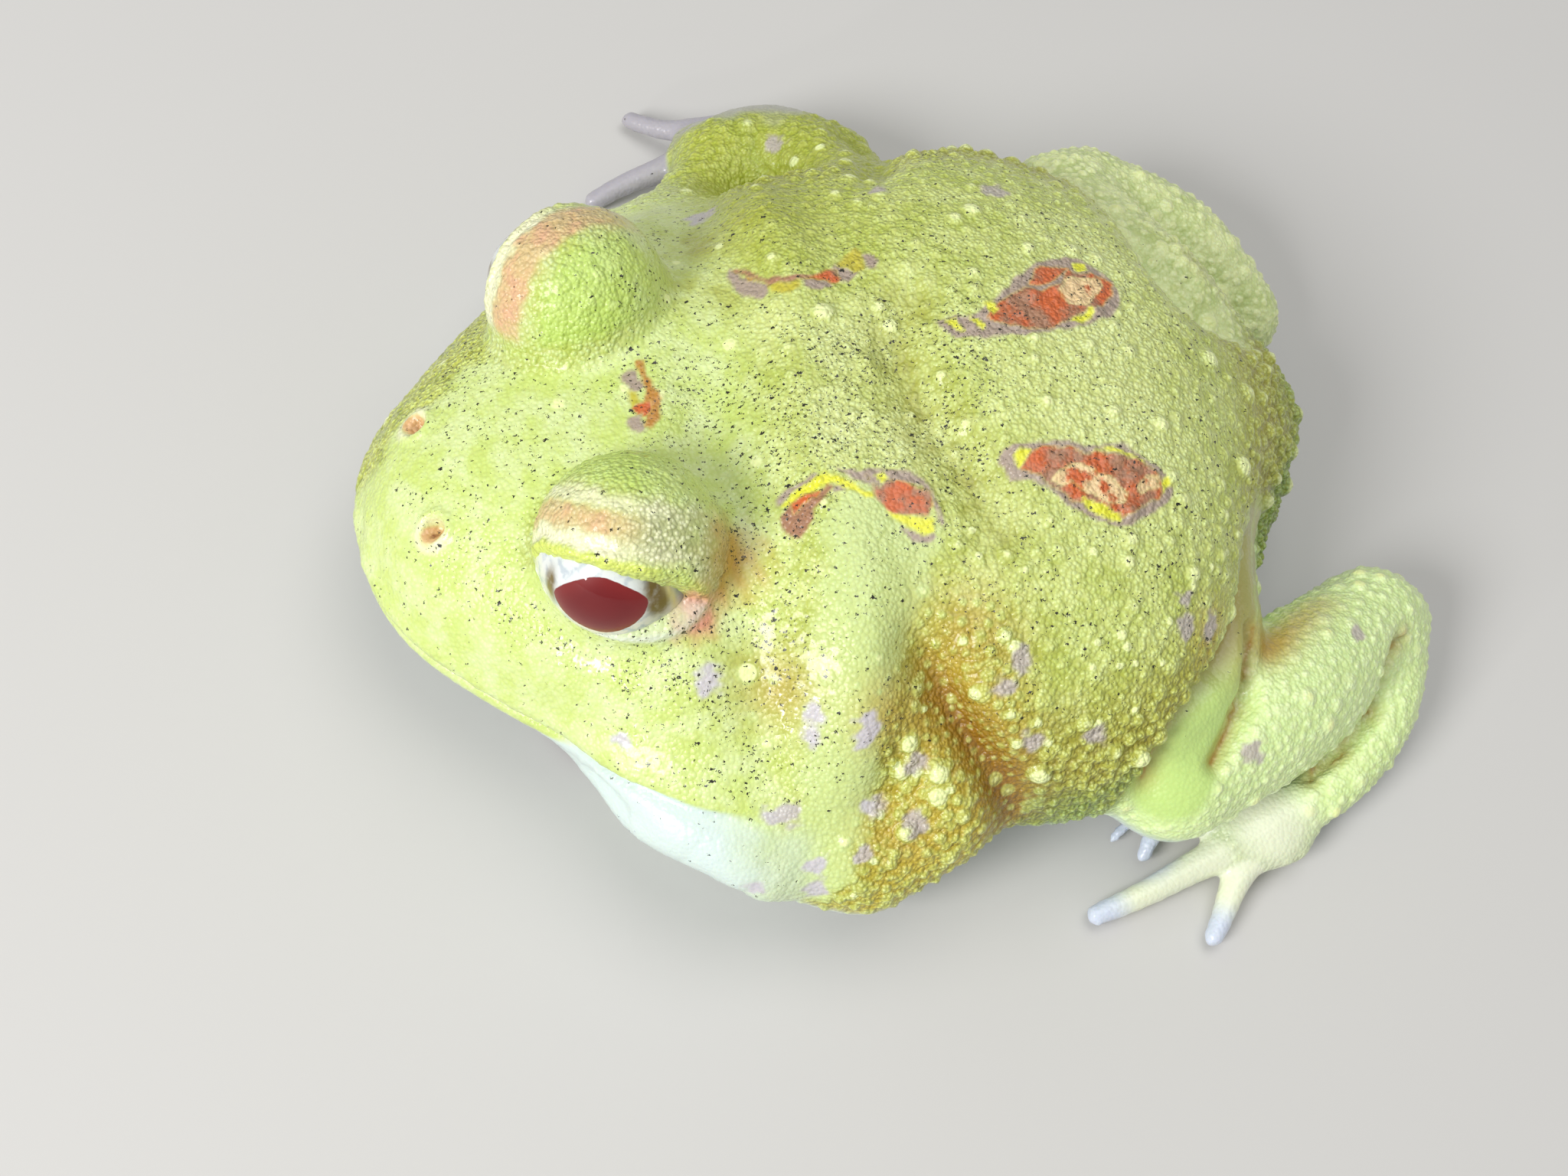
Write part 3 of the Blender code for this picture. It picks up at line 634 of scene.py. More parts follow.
def eye_levels(points):
    """For the nearer eye: local out, back and up, and the distance from its centre."""
    found = None
    for side in (1, -1):
        centre, axes, _ = eye_frame(side)
        local = (points - centre) @ axes.T
        away = np.linalg.norm(local, axis=1)
        if found is None:
            found = [local, away]
        else:
            nearer = away < found[1]
            found[0][nearer], found[1][nearer] = local[nearer], away[nearer]
    return found


def leg_regions(points):
    """The bare skin of the inner thigh, with the fold of skin behind it where shade is painted, and the part
    of it next to the rump.
    """
    middle, along = distance_to_line(points, laid_on(points, THIGH_MIDDLE))
    full, ends = (start + more * along**2 for start, more in (THIGH_FULL, THIGH_ENDS))
    thigh = 1 - eased(middle, full, ends)
    # Band along the fold of skin between rump and knee, where shade is painted in the groin colour
    web = near_fold(points, LEG_WEB, WEB_WIDTH)
    groin = np.maximum(thigh * (1 - eased(along, *GROIN_ALONG)), web)
    return np.maximum(thigh, web), groin


def throat_region(points, right_arm):
    """The pale skin under the mouth line, ragged towards the left foreleg."""
    y, z = points[:, 1], points[:, 2]
    slack = THROAT_DROP * eased(y, *THROAT_FRONT_Y)
    soft = -THROAT_EDGE - THROAT_SOFTER * eased(y, *THROAT_SOFTER_Y)
    throat = eased(mouth_line(points) + slack, THROAT_EDGE, soft) * eased(y, *THROAT_Y)
    throat *= 1 - near_limb(points, LEFT_FOREARM) * eased(z, *FOREARM_Z)
    ragged = y + 0.9 * waves(points, 2.5, 62)
    return throat * ((1 - right_arm) * (1 - THROAT_REAR_SHARE * eased(ragged, *THROAT_REAR_Y)))


def skin_regions(points, normals):
    """Shares from 0 to 1 for the regions of the skin, and distances from the lids' edges, in mm."""
    x, y, z = points.T
    local, away = eye_levels(points)
    upper, lower = lid_levels(local.T)
    regions = {
        "head": eased(y, *HEAD_Y),
        "lid": (1 - eased(away, LID_RADIUS + 0.2, LID_RADIUS + 1.3)) * eased(upper, 0.6, -0.2),
        "left_arm": near_limb(points, LEFT_ARM),
        "right_arm": near_limb(points, RIGHT_ARM),
        "left_leg": near_limb(points, LEFT_LEG),
        "right_leg": near_limb(points, RIGHT_LEG),
        "hands": near_digits(points, *HANDS),
        "feet": near_digits(points, *FEET),
        "tips": tips_of(points),
        "upper": upper,
        "lower": lower,
        "away": away,
        "rear_of_eye": local[:, 1],
    }
    side = np.abs(x + RUMP_BEND * eased(y, RUMP_STARTS, RUMP_ENDS))
    low = np.maximum(eased(z, *FLANK_Z), bell(distance_to(points, GOLDEN), GOLDEN_SIZE))
    outer = np.maximum(eased(side, *FLANK_OUT), eased(y, *FLANK_REAR_Y))
    regions["flank"] = low * outer * eased(y, *FLANK_Y)
    arm = regions["right_arm"]
    regions["throat"] = throat_region(points, arm)
    downward = eased(normals[:, 2], *UNDER_SLOPE) * eased(z, *UNDER_Z)
    regions["under"] = downward * (1 - arm * eased(z, *ARM_UNDER_Z))
    wrist = eased(near_limb(points, RIGHT_WRIST), *WRIST_SHARE) * eased(x, *WRIST_X)
    strip = distance_to_line(points, HAND_BACK)[0] + 0.7 * waves(points, 2.0, 53)
    back_of_hand = HAND_BACK_SHARE * eased(strip, *HAND_BACK_REACH)
    regions["hands"] = np.maximum(regions["hands"] * (1 - wrist), back_of_hand)
    regions["thigh"], regions["groin"] = leg_regions(points)
    drop = np.interp(y, FAR_CHEEK_Y, FAR_CHEEK_HEIGHT) - z + 0.5 * waves(points, 2.0, 61)
    far = eased(drop, *CHEEK_DROP) * eased(x, *CHEEK_X) * eased(y, *CHEEK_Y) * (1 - regions["throat"])
    regions["far_cheek"] = CHEEK_SHARE * far
    smooth, along = distance_to_line(points, laid_on(points, SMOOTH_RIDGE))
    full, ends = (start + more * along for start, more in (RIDGE_FULL, RIDGE_ENDS))
    regions["ridge"] = 1 - eased(smooth + 0.5 * waves(points, 2.5, 41), full, ends)
    for name in ("flank", "left_arm"):
        regions[name] = regions[name] * (1 - regions["ridge"]) * (1 - regions["thigh"])
    # The arm pit's fold, where ochre is painted as shade
    pit, _ = distance_to_line(points, laid_on(points, FOLDS[ARM_PIT][0]))
    regions["axilla"] = bell(pit + 0.5 * waves(points, 2.5, 33), PIT_WIDTH) * eased(z, *PIT_Z)
    regions["back"] = eased(y, *BACK_Y) * (1 - regions["flank"])
    return regions


# Warts

# Region, then radius and height of its granules, and radius, height and spacing of its warts, in mm
WART_REGIONS = (
    ("back", 0.36, 0.035, 0.42, 0.20, 1.8),
    ("head", 0.36, 0.030, 0.42, 0.04, 3.0),
    ("flank", 0.36, 0.055, 0.50, 0.42, 1.45),
    ("left_arm", 0.36, 0.060, 0.51, 0.40, 1.35),
    ("axilla", 0.36, 0.060, 0.38, 0.09, 2.0),
    ("right_arm", 0.38, 0.070, 0.46, 0.21, 1.5),
    ("left_leg", 0.36, 0.045, 0.42, 0.20, 1.8),
    ("right_leg", 0.36, 0.050, 0.42, 0.24, 1.8),
    ("thigh", 0.36, 0.010, 0.42, 0.02, 3.0),
    ("ridge", 0.36, 0.025, 0.38, 0.06, 2.4),
    ("far_cheek", 0.38, 0.080, 0.42, 0.12, 1.6),
    ("throat", 0.36, 0.020, 0.42, 0.02, 3.0),
    ("under", 0.36, 0.020, 0.42, 0.02, 3.0),
    ("lid", 0.36, 0.100, 0.40, 0.10, 1.7),
    ("hands", 0.34, 0.005, 0.42, 0.00, 3.0),
    ("feet", 0.34, 0.005, 0.42, 0.00, 3.0),
)
PLAIN_SKIN = (0.36, 0.06, 0.46, 0.10, 2.5)
# Reach and room of a granule for its radius, and the least and most of the height of granules and warts
GRANULE_REACH, GRANULE_ROOM = 1.1, 1.4
GRANULE_HEIGHTS, WART_HEIGHTS = (0.2, 1.5), (0.4, 1.1)
# How much of a low granule shows on a wart, and the highest that counts as low
GRANULE_ON_WART, LOW_GRANULE = 0.4, 0.06
LONE_REACH, LONE_HEIGHT, LONE_SHADE = 1.2, 0.8, 1.6


def tree_of(points):
    tree = kdtree.KDTree(len(points))
    for i, point in enumerate(points):
        tree.insert(point, i)
    tree.balance()
    return tree


def wart_sites(points, tree, room, rng):
    """Vertices to stand warts on, each with its own room round it."""
    free = np.ones(len(points), bool)
    sites = []
    for i in rng.permutation(len(points)):
        if not free[i]:
            continue
        sites.append(i)
        for _, near, _ in tree.find_range(points[i], room[i]):
            free[near] = False
    return np.array(sites)


def rounded(rise):
    """Height of a wart's dome, 0 to 1, where a cone would rise from 0 to 1."""
    return rise * (1.8 - 0.8 * rise)


def warts_on(points, tree, radius, room, rng):
    """For each point its height on the tallest wart there, 0 to 1, and which wart that is."""
    sites = wart_sites(points, tree, room, rng)
    own = radius[sites]
    near = tree_of(points[sites])
    found = np.array([[hit[1:] for hit in near.find_n(point, 3)] for point in points])
    rise = np.maximum(1 - found[:, :, 1] / own[found[:, :, 0].astype(int)], 0)
    best = rise.argmax(axis=1)
    rows = np.arange(len(points))
    rise, site = rise[rows, best], found[rows, best, 0].astype(int)
    return rounded(rise), site, sites


def raise_warts(points, normals, regions, settings):
    """The points lifted by granules and warts, and how far up a wart each is."""
    rng = np.random.default_rng(settings.seed)
    fields = np.tile(np.array(PLAIN_SKIN), (len(points), 1))
    for name, *values in WART_REGIONS:
        fields += regions[name][:, None] * (np.array(values) - fields)
    small, small_rise, large, large_rise, spacing = fields.T
    luck = rng.random(len(points))
    tree = tree_of(points)
    grain, site, sites = warts_on(points, tree, small * GRANULE_REACH, small * GRANULE_ROOM, rng)
    lift = grain * small_rise * rng.uniform(*GRANULE_HEIGHTS, len(sites))[site]
    # Most warts are near the usual size and a few are much larger
    size = large * (0.75 + 0.35 * luck + 1.1 * luck**14) * (1 + 0.15 * waves(points, 5.0, 3))
    dome, site, sites = warts_on(points, tree, size, size * spacing, rng)
    own_height = rng.uniform(*WART_HEIGHTS, len(sites)) * (size[sites] / large[sites])
    under = GRANULE_ON_WART * np.minimum(lift, LOW_GRANULE)
    lift = np.maximum(lift, dome * large_rise * own_height[site]) + under
    shade = dome * own_height[site]
    for x, y, z, size in LONE_WARTS:
        away = distance_to(points, nearest_point(points, (x, y, z)))
        rise = rounded(np.maximum(1 - away / (LONE_REACH * size), 0))
        lift = np.maximum(lift, rise * LONE_HEIGHT * size)
        shade = np.maximum(shade, LONE_SHADE * eased(rise, 0.1, 0.6))
    return points + normals * (lift * settings.wart_height)[:, None], shade


# Sculpting

# A fold runs out at both ends: the part of half a sine wave that its height follows
FOLD_END, FOLD_LENGTH = 0.08, 0.84
# Rolls and grooves as distance from their line, width and height in mm
UPPER_ROLL, UPPER_CREASE, LOWER_ROLL = (0.30, 0.32, 0.20), (0.85, 0.26, -0.13), (0.35, 0.35, 0.10)
LIPS = ((1.0, 0.9, 0.38), (-0.20, 0.32, -0.75), (-1.3, 0.6, 0.10))
NOSTRIL_RIM, NOSTRIL_PIT = (1.0, 0.34, 0.30), (0.0, 0.58, -0.95)
# How far the lips push up or down for each mm outwards, and how wide a nostril is for its length
LIP_LIFT, NOSTRIL_WIDTH = 0.25, 0.85


def roll(distance, at, width, height):
    """Height of a roll or groove that lies at a distance from a line."""
    return height * bell(distance - at, width)


def shape_folds(points, normals):
    lift = np.zeros(len(points))
    for line, width, height in FOLDS:
        distance, along = distance_to_line(points, laid_on(points, line))
        fading = np.sqrt(np.clip(np.sin(np.pi * (FOLD_END + FOLD_LENGTH * along)), 0, 1))
        lift += height * bell(distance, width) * fading
    return points + normals * lift[:, None]


def shape_lids(points, normals):
    """A rounded rim along both lids, with a crease behind the upper one."""
    local, away = eye_levels(points)
    upper, lower = lid_levels(local.T)
    on_dome = 1 - eased(away, LID_RADIUS + 0.3, LID_RADIUS + 1.4)
    over = roll(-upper, *UPPER_ROLL) * eased(lower, -0.6, 0.4) * eased(local[:, 1], 4.4, 2.4)
    crease = roll(-upper, *UPPER_CREASE) * eased(lower, -0.2, 0.8) * eased(local[:, 1], 3.6, 1.8)
    under = roll(-lower, *LOWER_ROLL) * eased(upper, -0.6, 0.4)
    return points + normals * (on_dome * (over + crease + under))[:, None]


def mouth_line(points):
    """How far each point is above the mouth line, which rises towards its corners."""
    back = (points - NECK) @ head_turn() + NECK
    return back[:, 2] - MOUTH_HEIGHT - MOUTH_RISE * eased(back[:, 1], -27.0, -17.0)


def shape_mouth(points, normals):
    """The mouth line, with the upper lip standing over it."""
    back = (points - NECK) @ head_turn() + NECK
    height = mouth_line(points)
    reach = eased(back[:, 1], MOUTH_CORNER_Y + 1.5, MOUTH_CORNER_Y - 2.0) * eased(points[:, 1], 0.0, -6.0)
    outward = normals.copy()
    outward[:, 2] *= LIP_LIFT
    lift = sum(roll(height, *lip) for lip in LIPS)
    return points + outward * (lift * reach)[:, None]


def nostril_distance(points):
    """Distance in mm to the middle of the nearer nostril."""
    distance = np.full(len(points), EMPTY)
    for side in (1, -1):
        x, y, z = NOSTRIL
        centre = on_head(side * x, y, z)
        apart = points - nearest_point(points, centre)
        apart[:, 1] *= NOSTRIL_WIDTH
        distance = np.minimum(distance, np.linalg.norm(apart, axis=1))
    return distance


def shape_nostrils(points, normals):
    distance = nostril_distance(points)
    lift = roll(distance, *NOSTRIL_RIM) + roll(distance, *NOSTRIL_PIT)
    return points + normals * lift[:, None]


# Markings

# Outlines seen from above, in mm, each painted over the ones before it
MARKINGS = (
    ("grey", ((9.0, -8.6), (8.4, -8.5), (7.7, -7.6), (7.1, -6.2), (7.2, -5.8), (7.8, -6.2), (8.0, -7.4),
        (8.7, -8.1))),
    ("grey", ((7.0, -4.5), (7.3, -2.9), (7.1, -2.3), (7.3, 0.0), (7.9, 1.1), (8.7, 1.6), (10.2, 2.1),
        (11.4, 2.2), (11.3, 1.9), (9.9, 1.6), (8.4, 1.0), (8.0, -1.1), (8.6, -2.2), (7.6, -3.7))),
    ("grey", ((11.3, -0.8), (11.7, 0.6), (11.7, 1.5), (12.1, 1.5), (12.4, 0.8), (12.3, -0.2))),
    ("grey", ((8.0, -4.9), (8.2, -4.3), (8.5, -4.2), (8.7, -5.0))),
    ("yellow", ((9.0, -8.4), (8.1, -7.4), (7.2, -5.3), (7.4, -4.7), (8.6, -3.0), (9.0, -2.4), (9.1, -2.9),
        (8.2, -4.3), (7.9, -5.0), (8.9, -7.7))),
    ("yellow", ((10.1, -1.6), (10.6, 0.4), (10.7, 1.5), (11.7, 1.5), (11.8, 0.6), (10.8, -0.9))),
    ("yellow", ((7.4, -1.4), (7.9, -1.3), (8.2, -1.7), (7.6, -2.1))),
    ("brown", ((8.9, -7.7), (8.4, -6.0), (7.9, -5.1), (8.3, -4.8), (9.5, -6.2), (10.4, -6.5), (10.9, -6.8),
        (11.3, -7.4), (10.7, -8.1), (9.6, -8.6))),
    ("orange", ((8.9, -7.7), (8.4, -6.0), (7.9, -5.1), (8.8, -6.1), (8.9, -6.9), (9.5, -7.5))),
    ("orange", ((7.6, -2.6), (8.4, -1.8), (8.1, -1.3), (8.2, -0.1), (8.8, 0.9), (9.0, 1.6), (9.9, 1.6),
        (10.5, 1.2), (10.4, -0.6), (10.0, -1.6), (9.3, -2.0))),
    ("grey", ((7.4, 6.3), (6.3, 6.9), (6.1, 8.9), (6.0, 11.5), (6.5, 12.5), (6.1, 13.9), (6.2, 15.4),
        (7.6, 17.7), (9.1, 18.8), (10.1, 18.0), (11.8, 15.0), (11.9, 13.4), (10.9, 10.9), (9.2, 9.1),
        (8.7, 8.1), (8.5, 7.1))),
    ("orange", ((7.9, 7.8), (7.0, 8.5), (6.4, 9.6), (6.5, 11.6), (7.0, 12.4), (6.9, 14.4), (7.2, 16.4),
        (8.8, 18.1), (9.9, 17.3), (10.5, 15.9), (11.2, 15.2), (11.3, 14.5), (10.6, 13.1), (10.2, 10.9),
        (9.3, 9.5), (8.5, 8.9))),
    ("yellow", ((6.8, 7.3), (6.5, 7.8), (6.7, 8.5), (7.3, 8.1), (7.8, 7.6))),
    ("yellow", ((6.6, 13.2), (6.3, 14.2), (6.9, 16.1), (7.4, 16.7), (7.3, 16.2), (6.8, 14.2))),
    ("yellow", ((10.2, 11.7), (10.2, 12.4), (11.2, 14.2), (11.5, 14.1), (11.5, 13.3), (10.7, 12.0))),
    ("yellow", ((8.7, 17.7), (8.4, 18.4), (8.8, 18.6), (9.3, 17.9))),
    ("pale", ((8.8, 9.8), (7.8, 11.0), (7.7, 11.9), (8.7, 14.0), (9.7, 15.0), (10.4, 14.7), (10.4, 13.5),
        (9.5, 12.0), (9.0, 11.0), (9.3, 10.2))),
    ("pale", ((9.0, 16.1), (8.4, 16.7), (8.5, 17.6), (9.1, 17.7), (9.6, 16.0))),
    ("grey", ((-3.9, 4.1), (-3.9, 6.2), (-4.5, 7.3), (-5.6, 8.8), (-8.4, 11.9), (-9.0, 13.3), (-9.4, 14.9),
        (-9.3, 16.1), (-7.7, 17.9), (-6.3, 18.1), (-5.2, 17.8), (-3.9, 16.6), (-2.8, 13.6), (-2.3, 10.7),
        (-2.2, 8.8), (-2.1, 7.0), (-2.3, 5.1), (-3.0, 4.3))),
    ("orange", ((-3.7, 7.5), (-5.1, 8.7), (-6.6, 11.3), (-8.0, 12.0), (-8.4, 13.1), (-7.7, 17.3),
        (-7.2, 17.9), (-6.0, 17.4), (-5.0, 16.3), (-4.0, 14.3), (-2.8, 12.3), (-2.7, 10.4), (-3.2, 8.4))),
    ("grey", ((-6.6, 10.4), (-6.5, 12.0), (-7.1, 13.3), (-8.0, 14.4), (-6.7, 13.7), (-6.0, 12.1),
        (-6.2, 11.2))),
    ("yellow", ((-3.7, 4.7), (-3.7, 5.3), (-2.7, 5.9), (-2.7, 5.7), (-3.3, 4.8))),
    ("yellow", ((-3.8, 6.3), (-3.7, 6.9), (-3.1, 7.3), (-2.5, 7.2), (-3.3, 6.7))),
    ("yellow", ((-5.0, 7.6), (-5.1, 8.3), (-4.4, 8.5), (-4.0, 8.0))),
    ("yellow", ((-3.5, 13.6), (-4.6, 15.4), (-4.2, 15.7), (-3.7, 15.3), (-3.3, 14.1))),
    ("yellow", ((-8.8, 15.2), (-8.9, 16.1), (-8.2, 16.0), (-8.0, 15.2))),
    ("pale", ((-6.2, 13.4), (-7.5, 14.6), (-7.5, 17.0), (-6.9, 17.1), (-5.1, 15.2), (-4.9, 13.9))),
    ("grey", ((-11.1, -8.8), (-10.8, -8.3), (-10.0, -8.1), (-9.3, -7.4), (-8.6, -6.7), (-7.7, -6.6),
        (-7.5, -7.0), (-8.1, -8.2), (-9.2, -8.7), (-10.1, -9.0))),
    ("ochre", ((-10.4, -7.8), (-10.0, -7.3), (-9.3, -7.1), (-9.5, -7.7))),
    ("mustard", ((-8.7, -6.5), (-8.2, -4.5), (-7.6, -4.6), (-7.3, -5.4), (-7.8, -6.5))),
    ("brown", ((-10.8, -8.5), (-10.5, -7.7), (-9.5, -7.0), (-8.9, -6.5), (-8.7, -5.2), (-8.7, -3.1),
        (-8.3, -3.1), (-8.3, -5.3), (-8.6, -6.6), (-9.6, -7.4))),
    ("grey", ((-8.2, -4.3), (-8.2, -3.7), (-8.1, -2.6), (-7.6, -2.4), (-7.3, -3.3), (-7.6, -4.3))),
    ("grey", ((-9.2, -2.2), (-9.8, -1.5), (-9.2, -1.0), (-8.6, -0.4), (-8.0, -1.1), (-8.1, -1.9))),
    ("orange", ((-8.4, -4.1), (-8.7, -3.1), (-9.2, -2.4), (-9.1, -1.8), (-8.2, -1.8), (-8.0, -2.2),
        (-8.2, -3.0))),
    ("mustard", ((-9.6, -1.7), (-10.5, -0.9), (-10.9, -0.1), (-10.3, 0.2), (-9.0, 0.2), (-8.8, -0.5),
        (-9.3, -1.1))),
    ("grey", ((-10.3, 0.3), (-10.2, 1.0), (-9.5, 1.2), (-8.8, 0.9), (-9.1, 0.3))),
    ("mustard", ((-1.5, -16.8), (-1.2, -16.3), (-0.4, -16.3), (-0.1, -16.7), (-0.7, -16.9))),
    ("ochre", ((-4.0, -16.2), (-3.7, -15.7), (-2.6, -15.5), (-1.6, -15.1), (-0.6, -14.8), (0.9, -15.1),
        (1.8, -15.7), (1.5, -16.2), (0.2, -15.8), (-0.7, -15.9), (-1.6, -15.8), (-2.8, -16.0))),
    ("grey", ((-2.8, -17.2), (-3.2, -16.7), (-3.1, -16.2), (-2.1, -15.9), (-1.6, -15.8), (-1.3, -16.3),
        (-1.8, -16.9), (-2.3, -17.2))),
    ("orange", ((0.0, -16.8), (-0.3, -16.2), (-0.4, -15.6), (0.2, -15.6), (0.8, -16.1), (0.5, -16.5))),
    ("grey", ((0.6, -17.1), (0.5, -16.2), (1.5, -16.2), (1.9, -15.9), (2.0, -16.5), (1.6, -17.1),
        (1.1, -17.3))),
)
# Grey lavender patches: x, y, z and size
MAUVE_SPOTS = (
    (20.5, -19.2, 13.7, 0.7), (18.9, -13.7, 18.6, 1.1), (22.7, -7.6, 17.6, 0.9), (21.6, -7.6, 18.7, 0.8),
    (23.5, -4.3, 18.6, 0.9), (22.9, -4.1, 19.3, 0.8), (26.2, -9.0, 13.1, 1.0), (26.3, -10.0, 12.8, 0.8),
    (28.9, -7.1, 10.2, 0.9), (29.5, -7.0, 8.6, 0.9), (28.4, -10.5, 8.9, 0.7), (26.3, -3.0, 13.6, 0.9),
    (27.8, -0.6, 13.3, 0.9), (24.9, -0.4, 16.2, 0.9), (29.2, -3.7, 11.7, 0.6), (19.9, 6.2, 20.5, 0.8),
    (21.3, 4.9, 19.5, 0.9), (24.0, 7.3, 17.1, 0.9), (24.0, 11.5, 17.0, 0.9), (16.2, 18.2, 20.6, 0.7),
    (17.7, 18.4, 19.6, 0.9), (17.3, 21.0, 18.1, 1.0), (15.3, 35.6, 10.7, 0.8), (23.9, 25.0, 11.3, 0.9),
    (-16.6, 11.5, 22.1, 1.0), (-17.4, 3.2, 21.6, 0.8), (-31.2, -0.3, 8.9, 0.9), (-19.3, -9.4, 17.4, 1.2),
)

# Painted highlight where the glare on the wet back is lightest, and where gold lies between the warts: x, y,
# z and size
BACK_GLARE = (
    (-3.0, 15.0, 24.5, 7.0), (5.5, 15.5, 24.3, 7.0), (4.0, -3.6, 24.2, 3.2), (-9.0, 17.0, 23.5, 5.0),
    (5.2, 0.5, 24.3, 2.8), (-3.3, -2.4, 23.9, 3.0), (-5.4, -6.5, 23.0, 2.6),
)
GOLDEN_PLACES = (
    (22.4, -2.4, 19.2, 2.6), (18.0, 2.8, 21.3, 3.4), (19.8, -9.2, 18.6, 2.4), (28.3, -1.3, 12.9, 2.8),
    (17.6, 21.0, 17.8, 2.4),
)
# Painted shade, dull olive, in the hollows: x, y, z and size
SHADED_HOLLOWS = (
    (19.0, -10.5, 18.7, 3.6), (19.4, -8.9, 19.2, 2.6), (-15.0, -10.0, 20.0, 4.0), (-9.5, -10.2, 21.2, 3.0),
    (9.0, 1.0, 24.0, 1.8),
)

# Where the dark specks crowd together, and where the right arm's darker lime is painted over the right
# shoulder as shade
DENSE_SPECKS = (
    (19.0, -10.5, 18.7, 4.5), (4.0, -10.0, 22.0, 6.0), (1.0, 0.0, 24.0, 7.0), (12.0, -9.0, 22.0, 4.0),
    (-8.0, -26.5, 16.0, 3.0),
)
RIGHT_SHOULDER_SHADE = ((-18.0, -6.0, 19.0, 9.0),)
# Shades behind the left eye: name, place and size
EYE_SHADES = (("blush", (15.6, -14.2, 21.2), 1.7), ("tan", (12.6, -12.5, 23.0), 2.9))
# Creases with painted shade and their widths, the width of the darker line of painted shade in their middle,
# and that of the lower lid's edge
CREASE_WIDTHS = ((THIGH_CREASE, 0.8), (SHANK_CREASE, 0.9), (GROIN, 1.1))
CREASE_LINE = 0.34
LOWER_EDGE = 0.42
# Bands over the lids, as distances from the upper lid's edge: where each begins, is full, fades and is gone
RIM_BAND, CREAM_FADE, SECOND_CREAM = (-0.25, 0.0, 0.30, 0.52), (1.2, 1.9), ((3.0, 3.6), (4.8, 3.9))
ORANGE_BAND, GREY_BAND, LIME_FROM = (1.1, 1.9, 2.7, 3.6), (0.5, 1.2, 4.0, 5.4), (4.2, 5.6)
# The right lid's orange is wider by this, and the cream begins further out on the left lid
ORANGE_WIDER, CREAM_STARTS, CREAM_SOFT = 1.3, (-0.3, 0.3), 0.2
# Regions whose shares the material reads
STORED_REGIONS = (
    "head", "left_arm", "right_arm", "left_leg", "right_leg", "hands", "feet", "flank", "throat", "under",
    "ridge", "axilla", "thigh", "groin", "far_cheek",
)

# Edge of the markings in mm: how ragged it is and where it fades, and the height that they stay above
RAGGED_EDGE, EDGE_FADE, MARKED_ABOVE = 0.10, (-0.12, 0.14), 14

# The nostrils' colours in mm from their middle: inside, deep hole and rim
NOSTRIL_INSIDE, NOSTRIL_DEEP, NOSTRIL_PALE = (0.66, 0.88), (0.15, 0.36), (1.05, 0.30)
# How thick the specks lie: on the head, more of them to its rear, on top of the back and in the dense places
HEAD_SPECKS, REAR_SPECKS, TOP_SPECKS, THICK_SPECKS = 0.08, 0.16, 0.34, 1.3
REAR_OF_HEAD_Y, TOP_Z, LOW_FLANK_Z = (-22.0, -13.0), (13.0, 18.0), (16.0, 10.0)

# How strongly the fine granules show in each region, and elsewhere
PLAIN_GRAININESS = 0.55
GRAININESS = (
    ("head", 0.25), ("flank", 1.0), ("left_arm", 0.9), ("right_arm", 0.6), ("axilla", 0.7),
    ("left_leg", 0.28), ("right_leg", 0.3), ("thigh", 0.10), ("ridge", 0.30), ("far_cheek", 1.0),
    ("throat", 0.08), ("under", 0.08), ("lid", 0.7), ("hands", 0.05), ("feet", 0.08),
)


def outline_distance(flat, outline):
    """Signed distance to a closed outline, below 0 inside it."""
    nearest = np.full(len(flat), np.inf)
    inside = np.zeros(len(flat), bool)
    for a, b in zip(outline, np.roll(outline, -1, axis=0)):
        way = b - a
        t = np.clip(((flat - a) @ way) / max(way @ way, 1e-9), 0, 1)
        nearest = np.minimum(nearest, np.linalg.norm(flat - a - t[:, None] * way, axis=1))
        if a[1] != b[1]:
            crossed = (a[1] > flat[:, 1]) != (b[1] > flat[:, 1])
            inside ^= crossed & (flat[:, 0] < way[0] * (flat[:, 1] - a[1]) / way[1] + a[0])
    return np.where(inside, -nearest, nearest)


def paint_markings(points):
    """A share from 0 to 1 for each colour of the markings, which lie only on top of the frog."""
    shares = {name: np.zeros(len(points)) for name, _ in MARKINGS}
    ragged = RAGGED_EDGE * waves(points, 0.9, 12) + RAGGED_EDGE * waves(points, 1.7, 11)
    for name, outline in MARKINGS:
        outline = np.array(outline)
        low, high = outline.min(axis=0) - 1, outline.max(axis=0) + 1
        near = ((points[:, :2] > low) & (points[:, :2] < high)).all(axis=1) & (points[:, 2] > MARKED_ABOVE)
        share = 1 - eased(outline_distance(points[near, :2], outline) + ragged[near], *EDGE_FADE)
        for other, values in shares.items():
            values[near] = values[near] * (1 - share) + (share if other == name else 0)
    return shares


